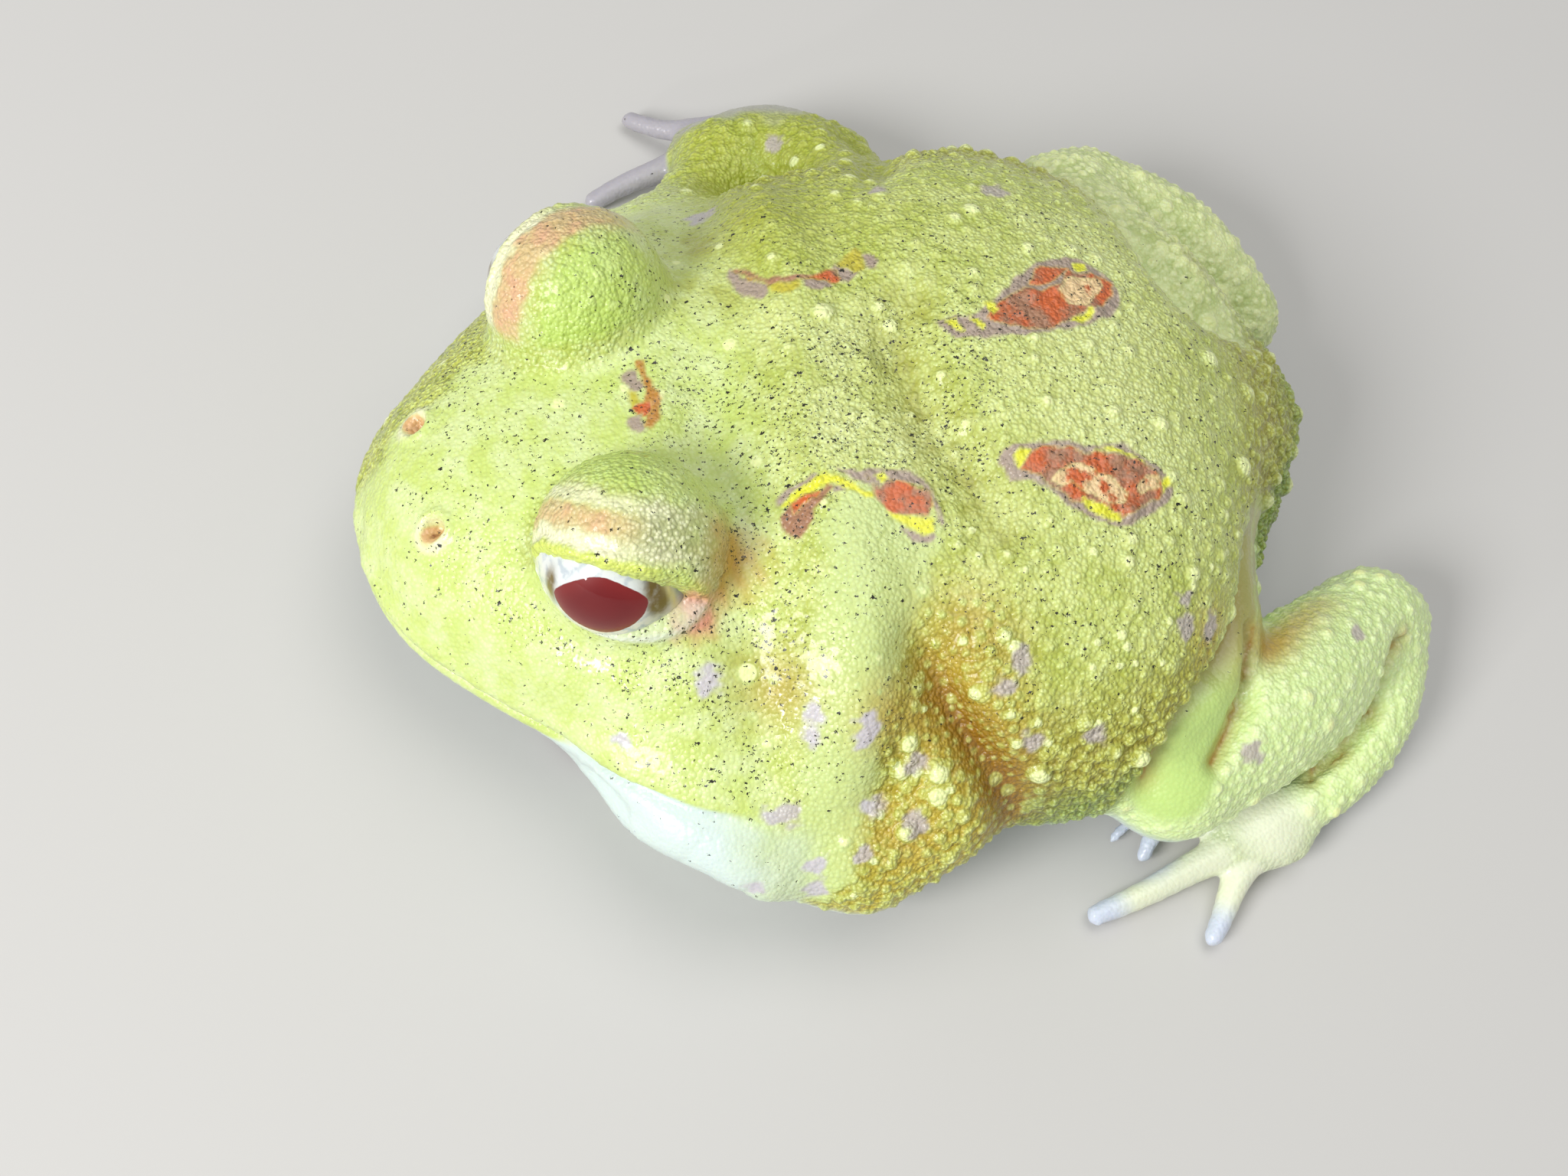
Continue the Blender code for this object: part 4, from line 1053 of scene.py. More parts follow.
def lid_shares(points, regions, right):
    """Bands over the lids, measured from the edge of the upper lid; the right lid has its own widths."""
    upper, away = regions["upper"], regions["away"]
    rear = eased(regions["rear_of_eye"], -0.6, 2.4)
    on_lid = (1 - eased(away, LID_RADIUS + 0.3, LID_RADIUS + 1.3)) * eased(regions["lower"], -1.0, 0.2)
    edge = -upper + 0.30 * waves(points, 1.6, 31)
    thin = -upper + 0.08 * waves(points, 1.6, 31)
    fading = 1 - eased(regions["rear_of_eye"], 1.8, 3.6)
    wide = np.where(right, ORANGE_WIDER, 0.0)
    start = np.where(right, *CREAM_STARTS)
    second = 0.7 * eased(edge, *SECOND_CREAM[0]) * eased(edge, *SECOND_CREAM[1]) * ~right
    cream = band(edge, start, start + CREAM_SOFT, *CREAM_FADE) + second
    around = eased(away, LID_RADIUS + 1.6, LID_RADIUS - 0.2)
    low, full, fades, gone = ORANGE_BAND
    orange = band(edge, low, full, fades + wide, gone + wide)
    lime_low, lime_full = LIME_FROM
    shares = {
        "lid_rim": band(thin, *RIM_BAND) * fading * np.where(right, 0.25, 1.0),
        "lid_cream": cream * (1 - 0.75 * rear),
        "lid_orange": orange * np.where(right, 1.0, 0.85 * (1 - rear)),
        "lid_grey": band(edge, *GREY_BAND) * np.where(right, 0.0, 0.10 + 0.80 * rear),
        "lid_lime": eased(edge, lime_low + 0.5 * wide, lime_full + 0.5 * wide) * np.where(right, 0.8, 0.6),
    }
    shares = {name: on_lid * share for name, share in shares.items()}
    shares["lower_lid"] = around * bell(regions["lower"] + LOWER_EDGE, LOWER_EDGE) * eased(upper, -0.4, 0.4)
    return shares


def spots_and_creases(points):
    """Shares of the mauve spots, the shades behind the eye and the painted shade along the creases."""
    mauve = np.zeros(len(points))
    ragged = 0.40 * waves(points, 1.5, 21) + 0.25 * waves(points, 0.7, 22)
    for x, y, z, size in MAUVE_SPOTS:
        away = distance_to(points, nearest_point(points, (x, y, z))) + ragged
        mauve = np.maximum(mauve, 0.9 * (1 - eased(away, size * 0.6, size * 1.15)))
    shares = {"mauve": mauve}
    spot = 0.5 * waves(points, 1.5, 32)
    for name, place, size in EYE_SHADES:
        shares[name] = 1 - eased(distance_to(points, place) + spot, size * 0.4, size * 1.5)
    # Painted shade in the creases of thigh, shank and groin: a wide soft band and a dark line in the middle
    creases = []
    for number, wide in CREASE_WIDTHS:
        creases.append(0.55 * near_fold(points, FOLDS[number][0], wide))
        creases.append(near_fold(points, FOLDS[number][0], CREASE_LINE))
    shares["web"] = np.maximum.reduce(creases) * (0.9 + 0.1 * waves(points, 1.2, 52))
    edge, along = distance_to_line(points, laid_on(points, SHANK_EDGE))
    shares["shank_edge"] = bell(edge, 1.6) * (1 - 0.5 * along)
    return shares


def colour_skin(mesh, points, regions, dome):
    """Stores on the mesh each share that the skin's material reads."""
    right = points[:, 0] < 0
    shares = {"mark_" + name: share for name, share in paint_markings(points).items()}
    shares.update({name: regions[name] for name in STORED_REGIONS})
    shares.update(lid_shares(points, regions, right))
    shares.update(spots_and_creases(points))
    shares["wart"] = dome
    shares["low_flank"] = eased(points[:, 2] + 1.5 * waves(points, 4.0, 51), *LOW_FLANK_Z)
    # Painted shade: olive along the back's long hollow and in the hollows behind the eyes and on the back
    shares["hollow"] = np.maximum(near_fold(points, FOLDS[BACK_HOLLOW][0], 2.3), glow(points, SHADED_HOLLOWS))
    # Painted highlight: pale glare of the wet skin on top of the back
    shares["back_light"] = glow(points, BACK_GLARE)
    shares["golden"] = glow(points, GOLDEN_PLACES)
    # Painted shade: the right arm's darker lime laid over the right upper arm and shoulder, on the side away
    # from the lights
    shares["shoulder"] = near_limb(points, RIGHT_UPPER_ARM) * 0.5 + glow(points, RIGHT_SHOULDER_SHADE)
    shares["tips"] = regions["tips"] * regions["feet"]
    grainy = PLAIN_GRAININESS * np.ones(len(points))
    for name, amount in GRAININESS:
        grainy += regions[name] * (amount - grainy)
    shares["grainy"] = grainy
    nostril = nostril_distance(points)
    shares["nostril"] = 1 - eased(nostril, *NOSTRIL_INSIDE)
    shares["nostril_hole"] = (1 - eased(nostril, *NOSTRIL_DEEP)) * np.where(right, 0.3, 1.0)
    shares["nostril_rim"] = bell(nostril - NOSTRIL_PALE[0], NOSTRIL_PALE[1])
    head = (HEAD_SPECKS + REAR_SPECKS * eased(points[:, 1], *REAR_OF_HEAD_Y)) * regions["head"]
    top = TOP_SPECKS * eased(points[:, 2], *TOP_Z) * (1 - regions["flank"])
    dense = THICK_SPECKS * glow(points, DENSE_SPECKS) * (1 - 0.8 * regions["ridge"])
    bare = np.maximum.reduce([regions[name] for name in ("lid", "throat", "under", "hands", "feet")])
    shares["specks"] = np.clip(head + top + dense, 0, 1) * (1 - 0.8 * bare)
    for name, share in shares.items():
        store(mesh, name, share)


# Materials

SKIN_FINISH = {
    "Subsurface Weight": 0.12,
    "Subsurface Radius": (0.9, 0.6, 0.25),
    "Subsurface Scale": 0.001,
    "Coat Weight": 0.40,
    "Coat Roughness": 0.12,
}
EYE_FINISH = {"Roughness": 0.35, "IOR": 1.33, "Coat Weight": 0.7, "Coat IOR": 1.33, "Coat Roughness": 0.02}
SKIN_ROUGHNESS = (0.28, 0.42)
GRANULES_PER_MM = 3.2
GRANULE_BUMP, LEAST_BUMP = 0.00022, 0.12

# Cells in a metre of the fine grain, the clouds, the wobble of the specks' outlines and their patches
FINE_GRAIN, CLOUDS, WOBBLE, PATCHES = 2600.0, 420.0, 7000.0, 210.0
WOBBLE_REACH = 0.00042
# Layers of specks: cells in a metre, share of cells with a speck, least size, added size, and turn
SPECK_LAYERS = ((3400.0, 0.95, 0.19, 0.21, 0.6), (1600.0, 0.62, 0.12, 0.17, 2.1))
SPECK_STRETCH = (1.5, 0.8, 0.9)
EYE_GRAIN, EYE_FUZZ = 1400.0, 0.10


class Nodes:
    """Builds shader nodes with short calls."""

    def __init__(self, tree):
        self.tree = tree

    def node(self, kind, settings=None, **inputs):
        made = self.tree.nodes.new(kind)
        for key, value in (settings or {}).items():
            setattr(made, key, value)
        for key, value in inputs.items():
            self.put(made.inputs[key.replace("_", " ")], value)
        return made

    def put(self, socket, value):
        if isinstance(value, bpy.types.NodeSocket):
            self.tree.links.new(value, socket)
        else:
            socket.default_value = value

    def attribute(self, name):
        return self.node("ShaderNodeAttribute", {"attribute_name": name}).outputs["Fac"]

    def math(self, operation, a, b=0.0):
        made = self.node("ShaderNodeMath", {"operation": operation})
        self.put(made.inputs[0], a)
        self.put(made.inputs[1], b)
        return made.outputs[0]

    def mix(self, share, a, b, blend="MIX"):
        made = self.node("ShaderNodeMix", {"data_type": "RGBA", "blend_type": blend})
        self.put(made.inputs[0], share)
        self.put(made.inputs[6], a)
        self.put(made.inputs[7], b)
        return made.outputs[2]

    def ramp(self, value, low, high, a=0.0, b=1.0):
        made = self.node("ShaderNodeMapRange", {"interpolation_type": "SMOOTHSTEP"})
        for i, v in enumerate((value, low, high, a, b)):
            self.put(made.inputs[i], v)
        return made.outputs[0]


def new_material(name, finish):
    material = bpy.data.materials.new(name)
    material.use_nodes = True
    nodes = Nodes(material.node_tree)
    shader = material.node_tree.nodes["Principled BSDF"]
    for key, value in finish.items():
        shader.inputs[key].default_value = value
    return material, nodes, shader


def tint_of(colours, name):
    return (*getattr(colours, name), 1.0)


def grain_group():
    """Fine grain of moist skin: mottling, small dark specks and the height of its granules."""
    name = "moist_grain"
    if name in bpy.data.node_groups:
        return bpy.data.node_groups[name]
    group = bpy.data.node_groups.new(name, "ShaderNodeTree")
    for label, default in (("Granules per mm", 3.0), ("Specks", 0.5)):
        made = group.interface.new_socket(label, in_out="INPUT", socket_type="NodeSocketFloat")
        made.default_value = default
    for label in ("Mottle", "Speck", "Granule", "Height"):
        group.interface.new_socket(label, in_out="OUTPUT", socket_type="NodeSocketFloat")
    nodes = Nodes(group)
    source = nodes.node("NodeGroupInput").outputs
    place = nodes.node("ShaderNodeTexCoord").outputs["Object"]
    scale = nodes.math("MULTIPLY", source["Granules per mm"], 1000.0)
    smooth = {"feature": "SMOOTH_F1"}
    cells = nodes.node("ShaderNodeTexVoronoi", smooth, Vector=place, Scale=scale, Smoothness=0.25)
    fine = nodes.node("ShaderNodeTexNoise", Vector=place, Scale=FINE_GRAIN, Detail=3.0, Roughness=0.6)
    cloud = nodes.node("ShaderNodeTexNoise", Vector=place, Scale=CLOUDS, Detail=4.0, Roughness=0.62)
    wobble = nodes.node("ShaderNodeTexNoise", Vector=place, Scale=WOBBLE, Detail=1.0)
    shift = nodes.node("ShaderNodeVectorMath", {"operation": "MULTIPLY_ADD"})
    for socket, value in zip(shift.inputs, (wobble.outputs["Color"], (WOBBLE_REACH,) * 3, place)):
        nodes.put(socket, value)
    patchy = nodes.node("ShaderNodeTexNoise", Vector=place, Scale=PATCHES, Detail=3.0)
    share = nodes.math("MULTIPLY", source["Specks"], nodes.ramp(patchy.outputs[0], 0.38, 0.56, 0.30, 1.0))
    speck = 0.0
    for per_metre, part, least, more, turn in SPECK_LAYERS:
        turned = {"Rotation": (0.5, 0.3, turn), "Scale": SPECK_STRETCH}
        long = nodes.node("ShaderNodeMapping", Vector=shift.outputs[0], **turned)
        dots = nodes.node("ShaderNodeTexVoronoi", Vector=long.outputs[0], Scale=per_metre, Randomness=1.0)
        chosen = nodes.node("ShaderNodeSeparateColor", Color=dots.outputs["Color"])
        there = nodes.math("LESS_THAN", chosen.outputs[0], nodes.math("MULTIPLY", share, part))
        size = nodes.math("MULTIPLY", nodes.math("POWER", chosen.outputs[1], 2.0), more)
        inside = nodes.math("LESS_THAN", dots.outputs["Distance"], nodes.math("ADD", size, least))
        speck = nodes.math("MAXIMUM", speck, nodes.math("MULTIPLY", there, inside))
    height = nodes.math("MULTIPLY", cells.outputs["Distance"], -1.0)
    height = nodes.math("ADD", height, nodes.math("MULTIPLY", fine.outputs[0], 0.25))
    sink = nodes.node("NodeGroupOutput")
    nodes.put(sink.inputs["Mottle"], cloud.outputs[0])
    nodes.put(sink.inputs["Speck"], speck)
    nodes.put(sink.inputs["Granule"], nodes.ramp(cells.outputs["Distance"], 0.62, 0.22))
    nodes.put(sink.inputs["Height"], height)
    return group


def skin_material(colours):
    """Lays the skin's colours over each other by the shares stored on its mesh."""
    material, nodes, shader = new_material("frog_skin", SKIN_FINISH)
    grain = nodes.node("ShaderNodeGroup", {"node_tree": grain_group()})
    grain.inputs["Granules per mm"].default_value = GRANULES_PER_MM
    nodes.put(grain.inputs["Specks"], nodes.attribute("specks"))
    mottle, granule = grain.outputs["Mottle"], grain.outputs["Granule"]
    wart, grainy = nodes.attribute("wart"), nodes.attribute("grainy")
    cloudy = nodes.ramp(mottle, 0.35, 0.68)
    knob = nodes.ramp(wart, 0.0, 0.5)

    def tint(name):
        return tint_of(colours, name)

    def between(share, low, high):
        return nodes.mix(share, tint(low), tint(high))

    def part(share, amount):
        return nodes.math("MULTIPLY", share, amount)

    def over(colour, name, amount=1.0, above=None):
        share = nodes.attribute(name)
        if amount != 1.0:
            share = part(share, amount)
        return nodes.mix(share, colour, above or tint(name))

    valleys = over(tint("flank_valley"), "low_flank", 0.92, tint("flank_low"))
    tips = over(tint("flank"), "low_flank", 1.0, tint("flank_low_tips"))
    # The right arm's darker lime is painted shade on the side away from the lights, paler on its warts
    right_arm = between(part(knob, 0.3), "right_arm", "arm")
    far_cheek = between(nodes.ramp(mottle, 0.40, 0.58), "far_cheek_dark", "far_cheek")
    lavender = nodes.math("MAXIMUM", nodes.attribute("head"), nodes.attribute("ridge"))
    # Each layer: the name of its share, how much of that counts, and its colour where it isn't of that name
    broad = (
        ("wart", 0.55, tint("back_pale")),
        # Painted highlight on top of the back
        ("back_light", 0.85),
        ("flank", 1.0, nodes.mix(knob, valleys, tips)),
        ("left_arm", 1.0, between(knob, "arm_valley", "arm")),
        # Painted shade: the right arm's darker lime over the right shoulder and the right arm
        ("shoulder", 1.0, right_arm),
        ("right_arm", 1.0, right_arm),
        ("head", 1.0, between(cloudy, "head", "head_pale")),
        ("ridge",),
        ("far_cheek", 0.9, nodes.mix(knob, far_cheek, tint("far_cheek"))),
        # Painted shade: ochre in the arm pit's fold, less of it on the warts
        ("axilla", nodes.ramp(wart, 0.7, 0.1, 0.3, 1.0)),
        ("golden", nodes.ramp(wart, 0.9, 0.1, 0.1, 0.75)),
        # Painted shade in the hollows, patchy with the mottle
        ("hollow", nodes.ramp(mottle, 0.3, 0.6, 0.7, 0.2)),
        ("left_leg", 1.0, between(part(knob, 0.6), "leg_valley", "leg")),
        ("right_leg", 1.0, between(nodes.math("MAXIMUM", cloudy, knob), "leg_far", "leg_grey")),
        ("thigh",),
        # The upper thigh's own brown olive skin, with painted shade along the fold where flank and thigh meet
        ("groin", 0.8),
    )
    details = (
        ("throat",),
        ("under", 1.0, tint("throat")),
        ("hands", 1.0, tint("hand")),
        ("feet", 1.0, tint("foot")),
        ("tips", 1.0, tint("toe_tip")),
        ("shank_edge", 0.9),
        # Painted shade in the creases of the leg
        ("web",),
        ("tan",),
        ("blush",),
        ("mauve", 1.0, between(lavender, "mauve", "lavender")),
        ("mark_grey",),
        ("mark_yellow",),
        ("mark_mustard",),
        ("mark_ochre",),
        ("mark_brown",),
        ("mark_orange", 1.0, between(nodes.ramp(mottle, 0.42, 0.62), "mark_orange", "mark_brown")),
        ("mark_pale", 1.0, between(nodes.ramp(mottle, 0.40, 0.50), "mark_orange", "mark_pale")),
        ("lid_lime",),
        ("lid_grey", 1.0, between(granule, "lid_grey", "lid_cream")),
        ("lid_orange", nodes.ramp(mottle, 0.35, 0.6, 1.0, 0.65)),
        ("lid_cream",),
        ("lid_rim",),
        ("lower_lid",),
        ("nostril_rim", 0.8, tint("lid_cream")),
        ("nostril",),
        ("nostril_hole",),
    )
    colour = between(cloudy, "back", "back_pale")
    for layer in broad:
        colour = over(colour, *layer)
    valley = part(nodes.math("SUBTRACT", 1.0, granule), grainy)
    colour = nodes.mix(valley, colour, tint("granule_valley"), "MULTIPLY")
    colour = nodes.mix(nodes.ramp(wart, 1.0, 1.5), colour, tint("lone_wart"))
    for layer in details:
        colour = over(colour, *layer)
    colour = nodes.mix(grain.outputs["Speck"], colour, tint("speck"))
    nodes.put(shader.inputs["Base Color"], colour)
    nodes.put(shader.inputs["Roughness"], nodes.ramp(mottle, 0.3, 0.7, *SKIN_ROUGHNESS))
    relief = part(grain.outputs["Height"], nodes.math("ADD", grainy, LEAST_BUMP))
    bump = nodes.node("ShaderNodeBump", Strength=1.0, Distance=GRANULE_BUMP, Height=relief)
    nodes.put(shader.inputs["Normal"], bump.outputs["Normal"])
    return material


def eye_material(colours):
    """Red pupil in a silver iris, with a clear coat."""
    material, nodes, shader = new_material("frog_eye", EYE_FINISH)
    place = nodes.node("ShaderNodeTexCoord").outputs["Object"]
    grain = nodes.node("ShaderNodeTexNoise", Vector=place, Scale=EYE_GRAIN, Detail=3.0).outputs[0]
    fuzz = nodes.math("MULTIPLY", nodes.math("SUBTRACT", grain, 0.5), EYE_FUZZ)
    level = nodes.math("ADD", nodes.attribute("pupil"), fuzz)
    smudge = nodes.math("MULTIPLY", nodes.attribute("smudge"), nodes.ramp(grain, 0.3, 0.55, 0.7, 1.0))
    upward = nodes.ramp(nodes.attribute("eye_up"), -0.4, 0.5)
    iris = nodes.mix(upward, tint_of(colours, "iris_low"), tint_of(colours, "iris"))
    layers = (
        (nodes.ramp(grain, 0.45, 0.65), "iris_fleck"),
        (smudge, "iris_smudge"),
        (nodes.attribute("ring"), "eye_ring"),
        (nodes.attribute("corner"), "eye_corner"),
    )
    for share, name in layers:
        iris = nodes.mix(share, iris, tint_of(colours, name))
    red = nodes.mix(nodes.ramp(level, -0.7, 0.0), tint_of(colours, "pupil"), tint_of(colours, "pupil_edge"))
    colour = nodes.mix(nodes.ramp(level, 0.02, -0.02), iris, red)
    nodes.put(shader.inputs["Base Color"], colour)
    return material


# Sizes and colours that can be changed


def colour_property(name, description, default):
    return bpy.props.FloatVectorProperty(
        name=name, description=description, subtype="COLOR", size=3, min=0.0, max=1.0, default=default
    )


class FrogFormSettings(bpy.types.PropertyGroup):
    clay_step: bpy.props.FloatProperty(
        name="Clay step",
        description="Spacing of the clay in mm; smaller is finer and slower",
        default=0.42,
        min=0.2,
        max=2.0,
    )
    relax_passes: bpy.props.IntProperty(
        name="Smoothing", description="Times the coarse skin is smoothed", default=4, min=0, max=20
    )
    wart_height: bpy.props.FloatProperty(
        name="Wart height",
        description="How far the warts stand up, 1 as in life",
        default=1.0,
        min=0.0,
        max=3.0,
    )
    seed: bpy.props.IntProperty(name="Seed", description="Chooses where each wart stands", default=7)


class FrogColourSettings(bpy.types.PropertyGroup):
    back: colour_property("Back", "Yellow green of the back", (0.54, 0.65, 0.14))
    back_pale: colour_property("Back, pale", "Paler wart tips and clouds of the back", (0.74, 0.85, 0.34))
    # Painted highlight: the glare of wet skin on top of the back
    back_light: colour_property("Back, light", "Lightest skin of the back", (0.79, 0.89, 0.43))
    golden: colour_property("Gold", "Gold between the warts beside the shoulder", (0.60, 0.43, 0.07))
    head: colour_property("Head", "Lime yellow of the head", (0.62, 0.76, 0.215))
    head_pale: colour_property("Head, pale", "Paler clouds of the head", (0.72, 0.84, 0.40))
    flank: colour_property("Flank", "Yellow wart tips of the flank", (0.68, 0.74, 0.22))
    flank_low: colour_property("Flank, low", "Green between the warts low on the flank", (0.28, 0.43, 0.10))
    flank_low_tips: colour_property("Flank, low tips", "Green wart tips low on the flank", (0.46, 0.62, 0.20))
    flank_valley: colour_property("Flank, valleys", "Olive between the flank's warts", (0.46, 0.44, 0.07))
    arm: colour_property("Arm", "Bright wart tips of the arm", (0.72, 0.78, 0.24))
    arm_valley: colour_property("Arm, valleys", "Gold between the warts of the left arm", (0.68, 0.58, 0.07))
    # The right arm's own lime, darkened as painted shade on the side away from the lights
    right_arm: colour_property("Right arm", "Lime of the right arm", (0.46, 0.54, 0.06))
    # Painted shade: ochre in the fold behind the arm
    axilla: colour_property("Arm pit", "Ochre in the fold behind the arm", (0.36, 0.18, 0.014))
    ridge: colour_property("Shoulder ridge", "Pale lime of the smooth ridge", (0.64, 0.77, 0.31))
    granule_valley: colour_property("Between granules", "Shade between fine granules", (0.71, 0.67, 0.33))
    lone_wart: colour_property("Large warts", "Pale tips of the large warts", (0.84, 0.92, 0.42))
    lid_lime: colour_property("Lid, lime", "Lime green on top of the lids", (0.52, 0.71, 0.15))
    iris_fleck: colour_property("Iris, flecks", "Bluish flecks of the iris", (0.50, 0.56, 0.60))
    leg: colour_property("Leg", "Pale yellow wart tips of the left leg", (0.84, 0.99, 0.56))
    leg_valley: colour_property("Leg, valleys", "Yellow green between the leg's warts", (0.74, 0.93, 0.43))
    leg_grey: colour_property("Leg, grey", "Grey green of the right leg", (0.88, 0.98, 0.52))
    thigh: colour_property("Thigh", "Smooth lime of the inner thigh", (0.56, 0.76, 0.24))
    leg_far: colour_property("Right leg, clouds", "Darker clouds of the right leg", (0.60, 0.73, 0.28))
    far_cheek: colour_property("Far cheek", "Yellow green of the right cheek", (0.72, 0.82, 0.20))
    far_cheek_dark: colour_property("Far cheek, dark", "Green clouds of the right cheek", (0.45, 0.54, 0.10))
    shank_edge: colour_property("Shank edge", "Orange brown of the shank's upper edge", (0.48, 0.29, 0.035))
    # Brown olive of the upper thigh's skin, and painted shade along the fold where flank and thigh meet
    groin: colour_property("Groin", "Brown olive skin between flank and thigh", (0.44, 0.38, 0.12))
    throat: colour_property("Throat", "Bluish white of the throat and belly", (0.66, 0.78, 0.73))
    hand: colour_property("Hand", "Grey lavender of the hands", (0.42, 0.40, 0.44))
    foot: colour_property("Foot", "Cream white of the feet", (0.80, 0.84, 0.62))
    toe_tip: colour_property("Toe tips", "Bluish white of the toe tips", (0.62, 0.68, 0.80))
    # Painted shade: ochre in the creases of thigh, shank and groin
    web: colour_property("Thigh fold", "Ochre in the fold between thigh and shank", (0.40, 0.23, 0.03))
    # Painted shade: olive in the hollows of the back and behind the eyes
    hollow: colour_property("Hollows", "Olive in the hollows of the back", (0.40, 0.38, 0.07))
    mauve: colour_property("Mauve", "Grey lavender patches", (0.52, 0.46, 0.42))
    lavender: colour_property("Lavender", "Lavender patches of cheek and shoulder ridge", (0.60, 0.56, 0.62))
    mark_grey: colour_property("Marking, grey", "Grey mauve border of the markings", (0.42, 0.33, 0.26))
    mark_yellow: colour_property("Marking, yellow", "Bright yellow of the markings", (0.80, 0.80, 0.04))
    mark_mustard: colour_property("Marking, mustard", "Dull yellow of the markings", (0.56, 0.50, 0.05))
    mark_ochre: colour_property("Marking, ochre", "Ochre of the mark between the eyes", (0.52, 0.24, 0.04))
    mark_brown: colour_property("Marking, brown", "Brown mauve of the markings", (0.40, 0.20, 0.11))
    mark_orange: colour_property("Marking, orange", "Orange red of the markings", (0.64, 0.13, 0.025))
    mark_pale: colour_property("Marking, pale", "Pale grains in the markings", (0.85, 0.62, 0.32))
    lid_rim: colour_property("Lid rim", "Yellow green roll along the upper lid", (0.66, 0.76, 0.14))
    lid_cream: colour_property("Lid, cream", "Cream band over the lid's rim", (0.86, 0.86, 0.56))
    lid_orange: colour_property("Lid, orange", "Orange band over the lid", (0.76, 0.45, 0.26))
    lid_grey: colour_property("Lid, grey", "Grey green grains of the lid", (0.42, 0.44, 0.22))
    lower_lid: colour_property("Lower lid", "Bluish white edge of the lower lid", (0.78, 0.84, 0.70))
    tan: colour_property("Behind the eye", "Orange shade behind the left eye", (0.58, 0.34, 0.06))
    blush: colour_property("Eye corner, red", "Pink red behind the eye's corner", (0.78, 0.34, 0.22))
    nostril: colour_property("Nostril", "Peach inside the nostrils", (0.70, 0.42, 0.19))
    nostril_hole: colour_property("Nostril, hole", "Brown deep in the nostrils", (0.22, 0.06, 0.02))
    speck: colour_property("Specks", "Dark specks on the head and back", (0.014, 0.012, 0.005))
    pupil: colour_property("Pupil", "Dark red of the pupil", (0.15, 0.007, 0.009))
    pupil_edge: colour_property("Pupil edge", "Redder edge of the pupil", (0.20, 0.014, 0.014))
    iris: colour_property("Iris", "Silver of the iris above the pupil", (0.72, 0.76, 0.74))
    iris_low: colour_property("Iris, low", "White of the iris below the pupil", (0.80, 0.76, 0.66))
    iris_smudge: colour_property("Iris, smudge", "Dark gold beside the pupil", (0.17, 0.115, 0.025))
    eye_ring: colour_property("Eye ring", "Pale yellow ring round the iris", (0.70, 0.62, 0.26))
    eye_corner: colour_property("Eye corner", "Grey at the rear corner of the eye", (0.30, 0.31, 0.27))


class FrogStageSettings(bpy.types.PropertyGroup):
    lens: bpy.props.FloatProperty(
        name="Lens",
        description="Focal length for a 36 mm sensor",
        default=47.46,
        min=10.0,
        max=200.0,
        unit="CAMERA",
    )
    floor: colour_property("Floor", "Plain pale floor", (0.62, 0.61, 0.59))
    key_watts: bpy.props.FloatProperty(
        name="Key light", description="Power of the main soft light", default=1.9, min=0.0, unit="POWER"
    )
    fill_watts: bpy.props.FloatProperty(
        name="Fill light", description="Power of the second soft light", default=1.2, min=0.0, unit="POWER"
    )
    spark_watts: bpy.props.FloatProperty(
        name="Spark light",
        description="Power of the small light that glints on wet skin",
        default=0.25,
        min=0.0,
        unit="POWER",
    )
    sky: bpy.props.FloatProperty(
        name="Sky", description="Strength of the even light all round", default=0.40, min=0.0
    )


# Operators


class FROG_OT_skin(bpy.types.Operator):
    """Sculpts the whole skin, with its folds, lids, mouth and warts, and gives it its markings"""

    bl_idname = "frog.skin"
    bl_label = "Make the skin"

    def execute(self, context):
        form, colours = context.scene.frog_form, context.scene.frog_colours
        coarser = 1.0
        points, quads = model_clay(form.clay_step * coarser).surface()
        points = relaxed(points, quads, form.relax_passes)
        mesh = finer(mesh_from("skin", points, quads), 1)
        points = points_of(mesh)
        for shaping in (shape_folds, shape_lids, shape_mouth, shape_nostrils):
            points = shaping(points, normals_of(mesh))
            move_to(mesh, points)
        normals = normals_of(mesh)
        regions = skin_regions(points, normals)
        points, dome = raise_warts(points, normals, regions, form)
        points[:, 2] = np.maximum(points[:, 2], LOWEST_POINT)
        move_to(mesh, points * MM)
        colour_skin(mesh, points, regions, dome)
        mesh.shade_smooth()
        skin = bpy.data.objects.new("skin", mesh)
        context.scene.collection.objects.link(skin)
        mesh.materials.append(skin_material(colours))
        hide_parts(*[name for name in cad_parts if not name.endswith("_eye")])
        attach(skin, "root")
        return {"FINISHED"}


# The pupil in degrees on the eyeball: azimuth and height of its middle, half its width and height, and tilt
PUPIL_MIDDLE, PUPIL_HALF, PUPIL_TILT = (0.5, 13.5), (35.0, 25.0), math.radians(14.0)
# Dark places beside it: azimuth, height, how far they reach both ways, and strength
SMUDGES = ((43, -4, 9, 16, 1.0), (-40, 4, 5, 11, 0.9))
SMUDGE_GAIN = 2.4
# The ring round the iris and the grey corner, in degrees, and the cornea's rise in mm and where it ends
RING_AT, RING_WIDTH, CORNER = 53, 3, (55, 59)
CORNEA_RISE, CORNEA_ENDS = 0.25, (25, 50)
EYE_SEGMENTS, EYE_RINGS = 96, 64


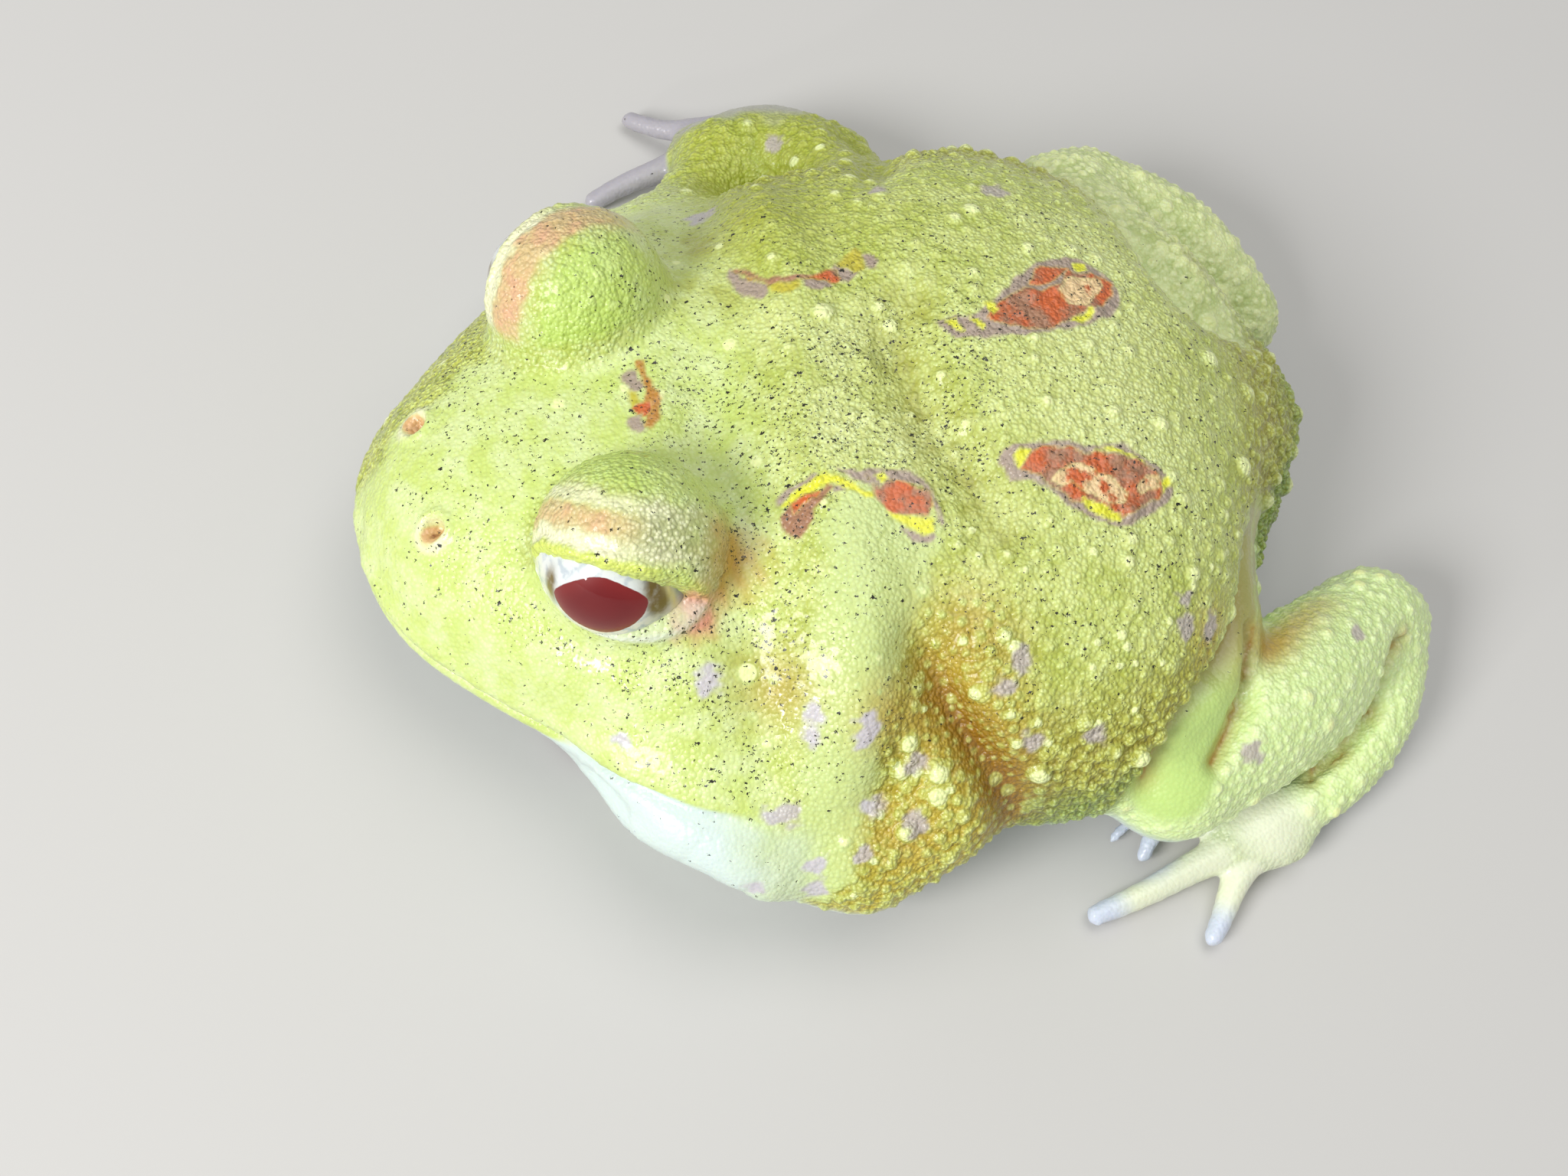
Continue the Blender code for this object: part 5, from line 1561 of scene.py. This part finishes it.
class FROG_OT_eyes(bpy.types.Operator):
    """Makes both eyes, with a red pupil, a silver iris and a clear coat"""

    bl_idname = "frog.eyes"
    bl_label = "Make the eyes"

    def execute(self, context):
        material = eye_material(context.scene.frog_colours)
        for word, side in (("left", 1), ("right", -1)):
            centre, axes, _ = eye_frame(side)
            bpy.ops.mesh.primitive_uv_sphere_add(segments=EYE_SEGMENTS, ring_count=EYE_RINGS, radius=1.0)
            eye = context.object
            eye.name = word + "_eyeball"
            mesh = eye.data
            local = points_of(mesh)
            out, back, up = local.T
            across = np.degrees(np.arctan2(back, out)) - PUPIL_MIDDLE[0]
            high = np.degrees(np.arcsin(np.clip(up, -1, 1))) - PUPIL_MIDDLE[1]
            across, high = (
                across * math.cos(PUPIL_TILT) + high * math.sin(PUPIL_TILT),
                high * math.cos(PUPIL_TILT) - across * math.sin(PUPIL_TILT),
            )
            wide, tall = np.abs(across) / PUPIL_HALF[0], np.abs(high) / PUPIL_HALF[1]
            store(mesh, "pupil", tall**1.5 + wide**1.6 - 1)
            store(mesh, "eye_up", up)
            dark = sum(
                strength * bell(across - at, reach) * bell(high - level, rise)
                for at, level, reach, rise, strength in SMUDGES
            )
            store(mesh, "smudge", np.clip(dark * SMUDGE_GAIN, 0, 1))
            store(mesh, "ring", bell(across - RING_AT, RING_WIDTH))
            store(mesh, "corner", eased(across, *CORNER))
            radius = EYE_RADIUS + CORNEA_RISE * (1 - eased(np.hypot(across, high), *CORNEA_ENDS))
            points = (local * radius[:, None]) @ axes + centre
            if side < 0:
                mesh.flip_normals()
            move_to(mesh, points * MM)
            mesh.shade_smooth()
            mesh.materials.append(material)
            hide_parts(word + "_eye")
            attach(eye, "root")
        return {"FINISHED"}


FLOOR_SIZE = 6.0
FLOOR_FINISH = {"Roughness": 0.9}
# Place and width of each lamp, in metres
LAMPS = {
    "key": ((0.22, -0.36, 0.30), 0.20),
    "fill": ((-0.10, 0.10, 0.60), 0.50),
    "spark": ((0.33, -0.41, 0.12), 0.03),
}
CAMERA_PLACE = (0.07199, -0.03600, 0.13756)
CAMERA_AZIMUTH, CAMERA_ELEVATION = math.radians(64.695), math.radians(61.094)
CAMERA_ROLL = math.radians(19.065)
SENSOR_WIDTH, NEAREST_SEEN, FARTHEST_SEEN = 36.0, 0.01, 20.0


class FROG_OT_stage(bpy.types.Operator):
    """Lays the floor, hangs the soft lights and sets the camera"""

    bl_idname = "frog.stage"
    bl_label = "Set the stage"

    def execute(self, context):
        settings = context.scene.frog_stage
        bpy.ops.mesh.primitive_plane_add(size=FLOOR_SIZE, location=(0, 0, 0))
        floor = context.object
        floor.name = "floor"
        material, _, shader = new_material("floor", FLOOR_FINISH)
        shader.inputs["Base Color"].default_value = tint_of(settings, "floor")
        floor.data.materials.append(material)
        for name, (place, size) in LAMPS.items():
            self.light(context, name, place, size, getattr(settings, name + "_watts"))
        world = bpy.data.worlds.new("sky")
        world.use_nodes = True
        background = world.node_tree.nodes["Background"].inputs
        background["Color"].default_value = (1.0, 1.0, 1.0, 1.0)
        background["Strength"].default_value = settings.sky
        context.scene.world = world
        context.scene.view_settings.view_transform = "Standard"
        self.camera(context, settings)
        return {"FINISHED"}

    def light(self, context, name, place, size, watts):
        lamp = bpy.data.lights.new(name, "AREA")
        lamp.shape = "DISK"
        lamp.size = size
        lamp.energy = watts
        holder = bpy.data.objects.new(name, lamp)
        holder.location = place
        holder.rotation_euler = Vector(place).to_track_quat("Z", "Y").to_euler()
        context.scene.collection.objects.link(holder)

    def camera(self, context, settings):
        sensor = bpy.data.cameras.new("camera")
        sensor.sensor_width = SENSOR_WIDTH
        sensor.lens = settings.lens
        sensor.clip_start, sensor.clip_end = NEAREST_SEEN, FARTHEST_SEEN
        azimuth, elevation = CAMERA_AZIMUTH, CAMERA_ELEVATION
        behind = Vector(
            (
                math.sin(azimuth) * math.cos(elevation),
                -math.cos(azimuth) * math.cos(elevation),
                math.sin(elevation),
            )
        )
        right = Vector((math.cos(azimuth), math.sin(azimuth), 0.0))
        turn = Matrix((right, behind.cross(right), behind)).transposed()
        holder = bpy.data.objects.new("camera", sensor)
        turn = turn @ Matrix.Rotation(CAMERA_ROLL, 3, "Z")
        holder.matrix_world = Matrix.Translation(CAMERA_PLACE) @ turn.to_4x4()
        context.scene.collection.objects.link(holder)
        context.scene.camera = holder


class FROG_PT_panel(bpy.types.Panel):
    """Lists the steps that build the frog"""

    bl_label = "Horned Frog"
    bl_idname = "FROG_PT_panel"
    bl_space_type = "VIEW_3D"
    bl_region_type = "UI"
    bl_category = "Frog"

    def draw(self, context):
        for group in (context.scene.frog_form, context.scene.frog_stage, context.scene.frog_colours):
            for name in group.__annotations__:
                self.layout.prop(group, name)
        for operator in OPERATORS:
            self.layout.operator(operator.bl_idname)


GROUPS = {"frog_form": FrogFormSettings, "frog_colours": FrogColourSettings, "frog_stage": FrogStageSettings}
OPERATORS = (FROG_OT_skin, FROG_OT_eyes, FROG_OT_stage)


def register():
    for cls in (*GROUPS.values(), *OPERATORS, FROG_PT_panel):
        bpy.utils.register_class(cls)
    for name, cls in GROUPS.items():
        setattr(bpy.types.Scene, name, bpy.props.PointerProperty(type=cls))


def unregister():
    for name in GROUPS:
        delattr(bpy.types.Scene, name)
    for cls in reversed((*GROUPS.values(), *OPERATORS, FROG_PT_panel)):
        bpy.utils.unregister_class(cls)


def main():
    register()
    bpy.ops.frog.skin()
    bpy.ops.frog.eyes()
    bpy.ops.frog.stage()


if __name__ == "__main__":
    main()
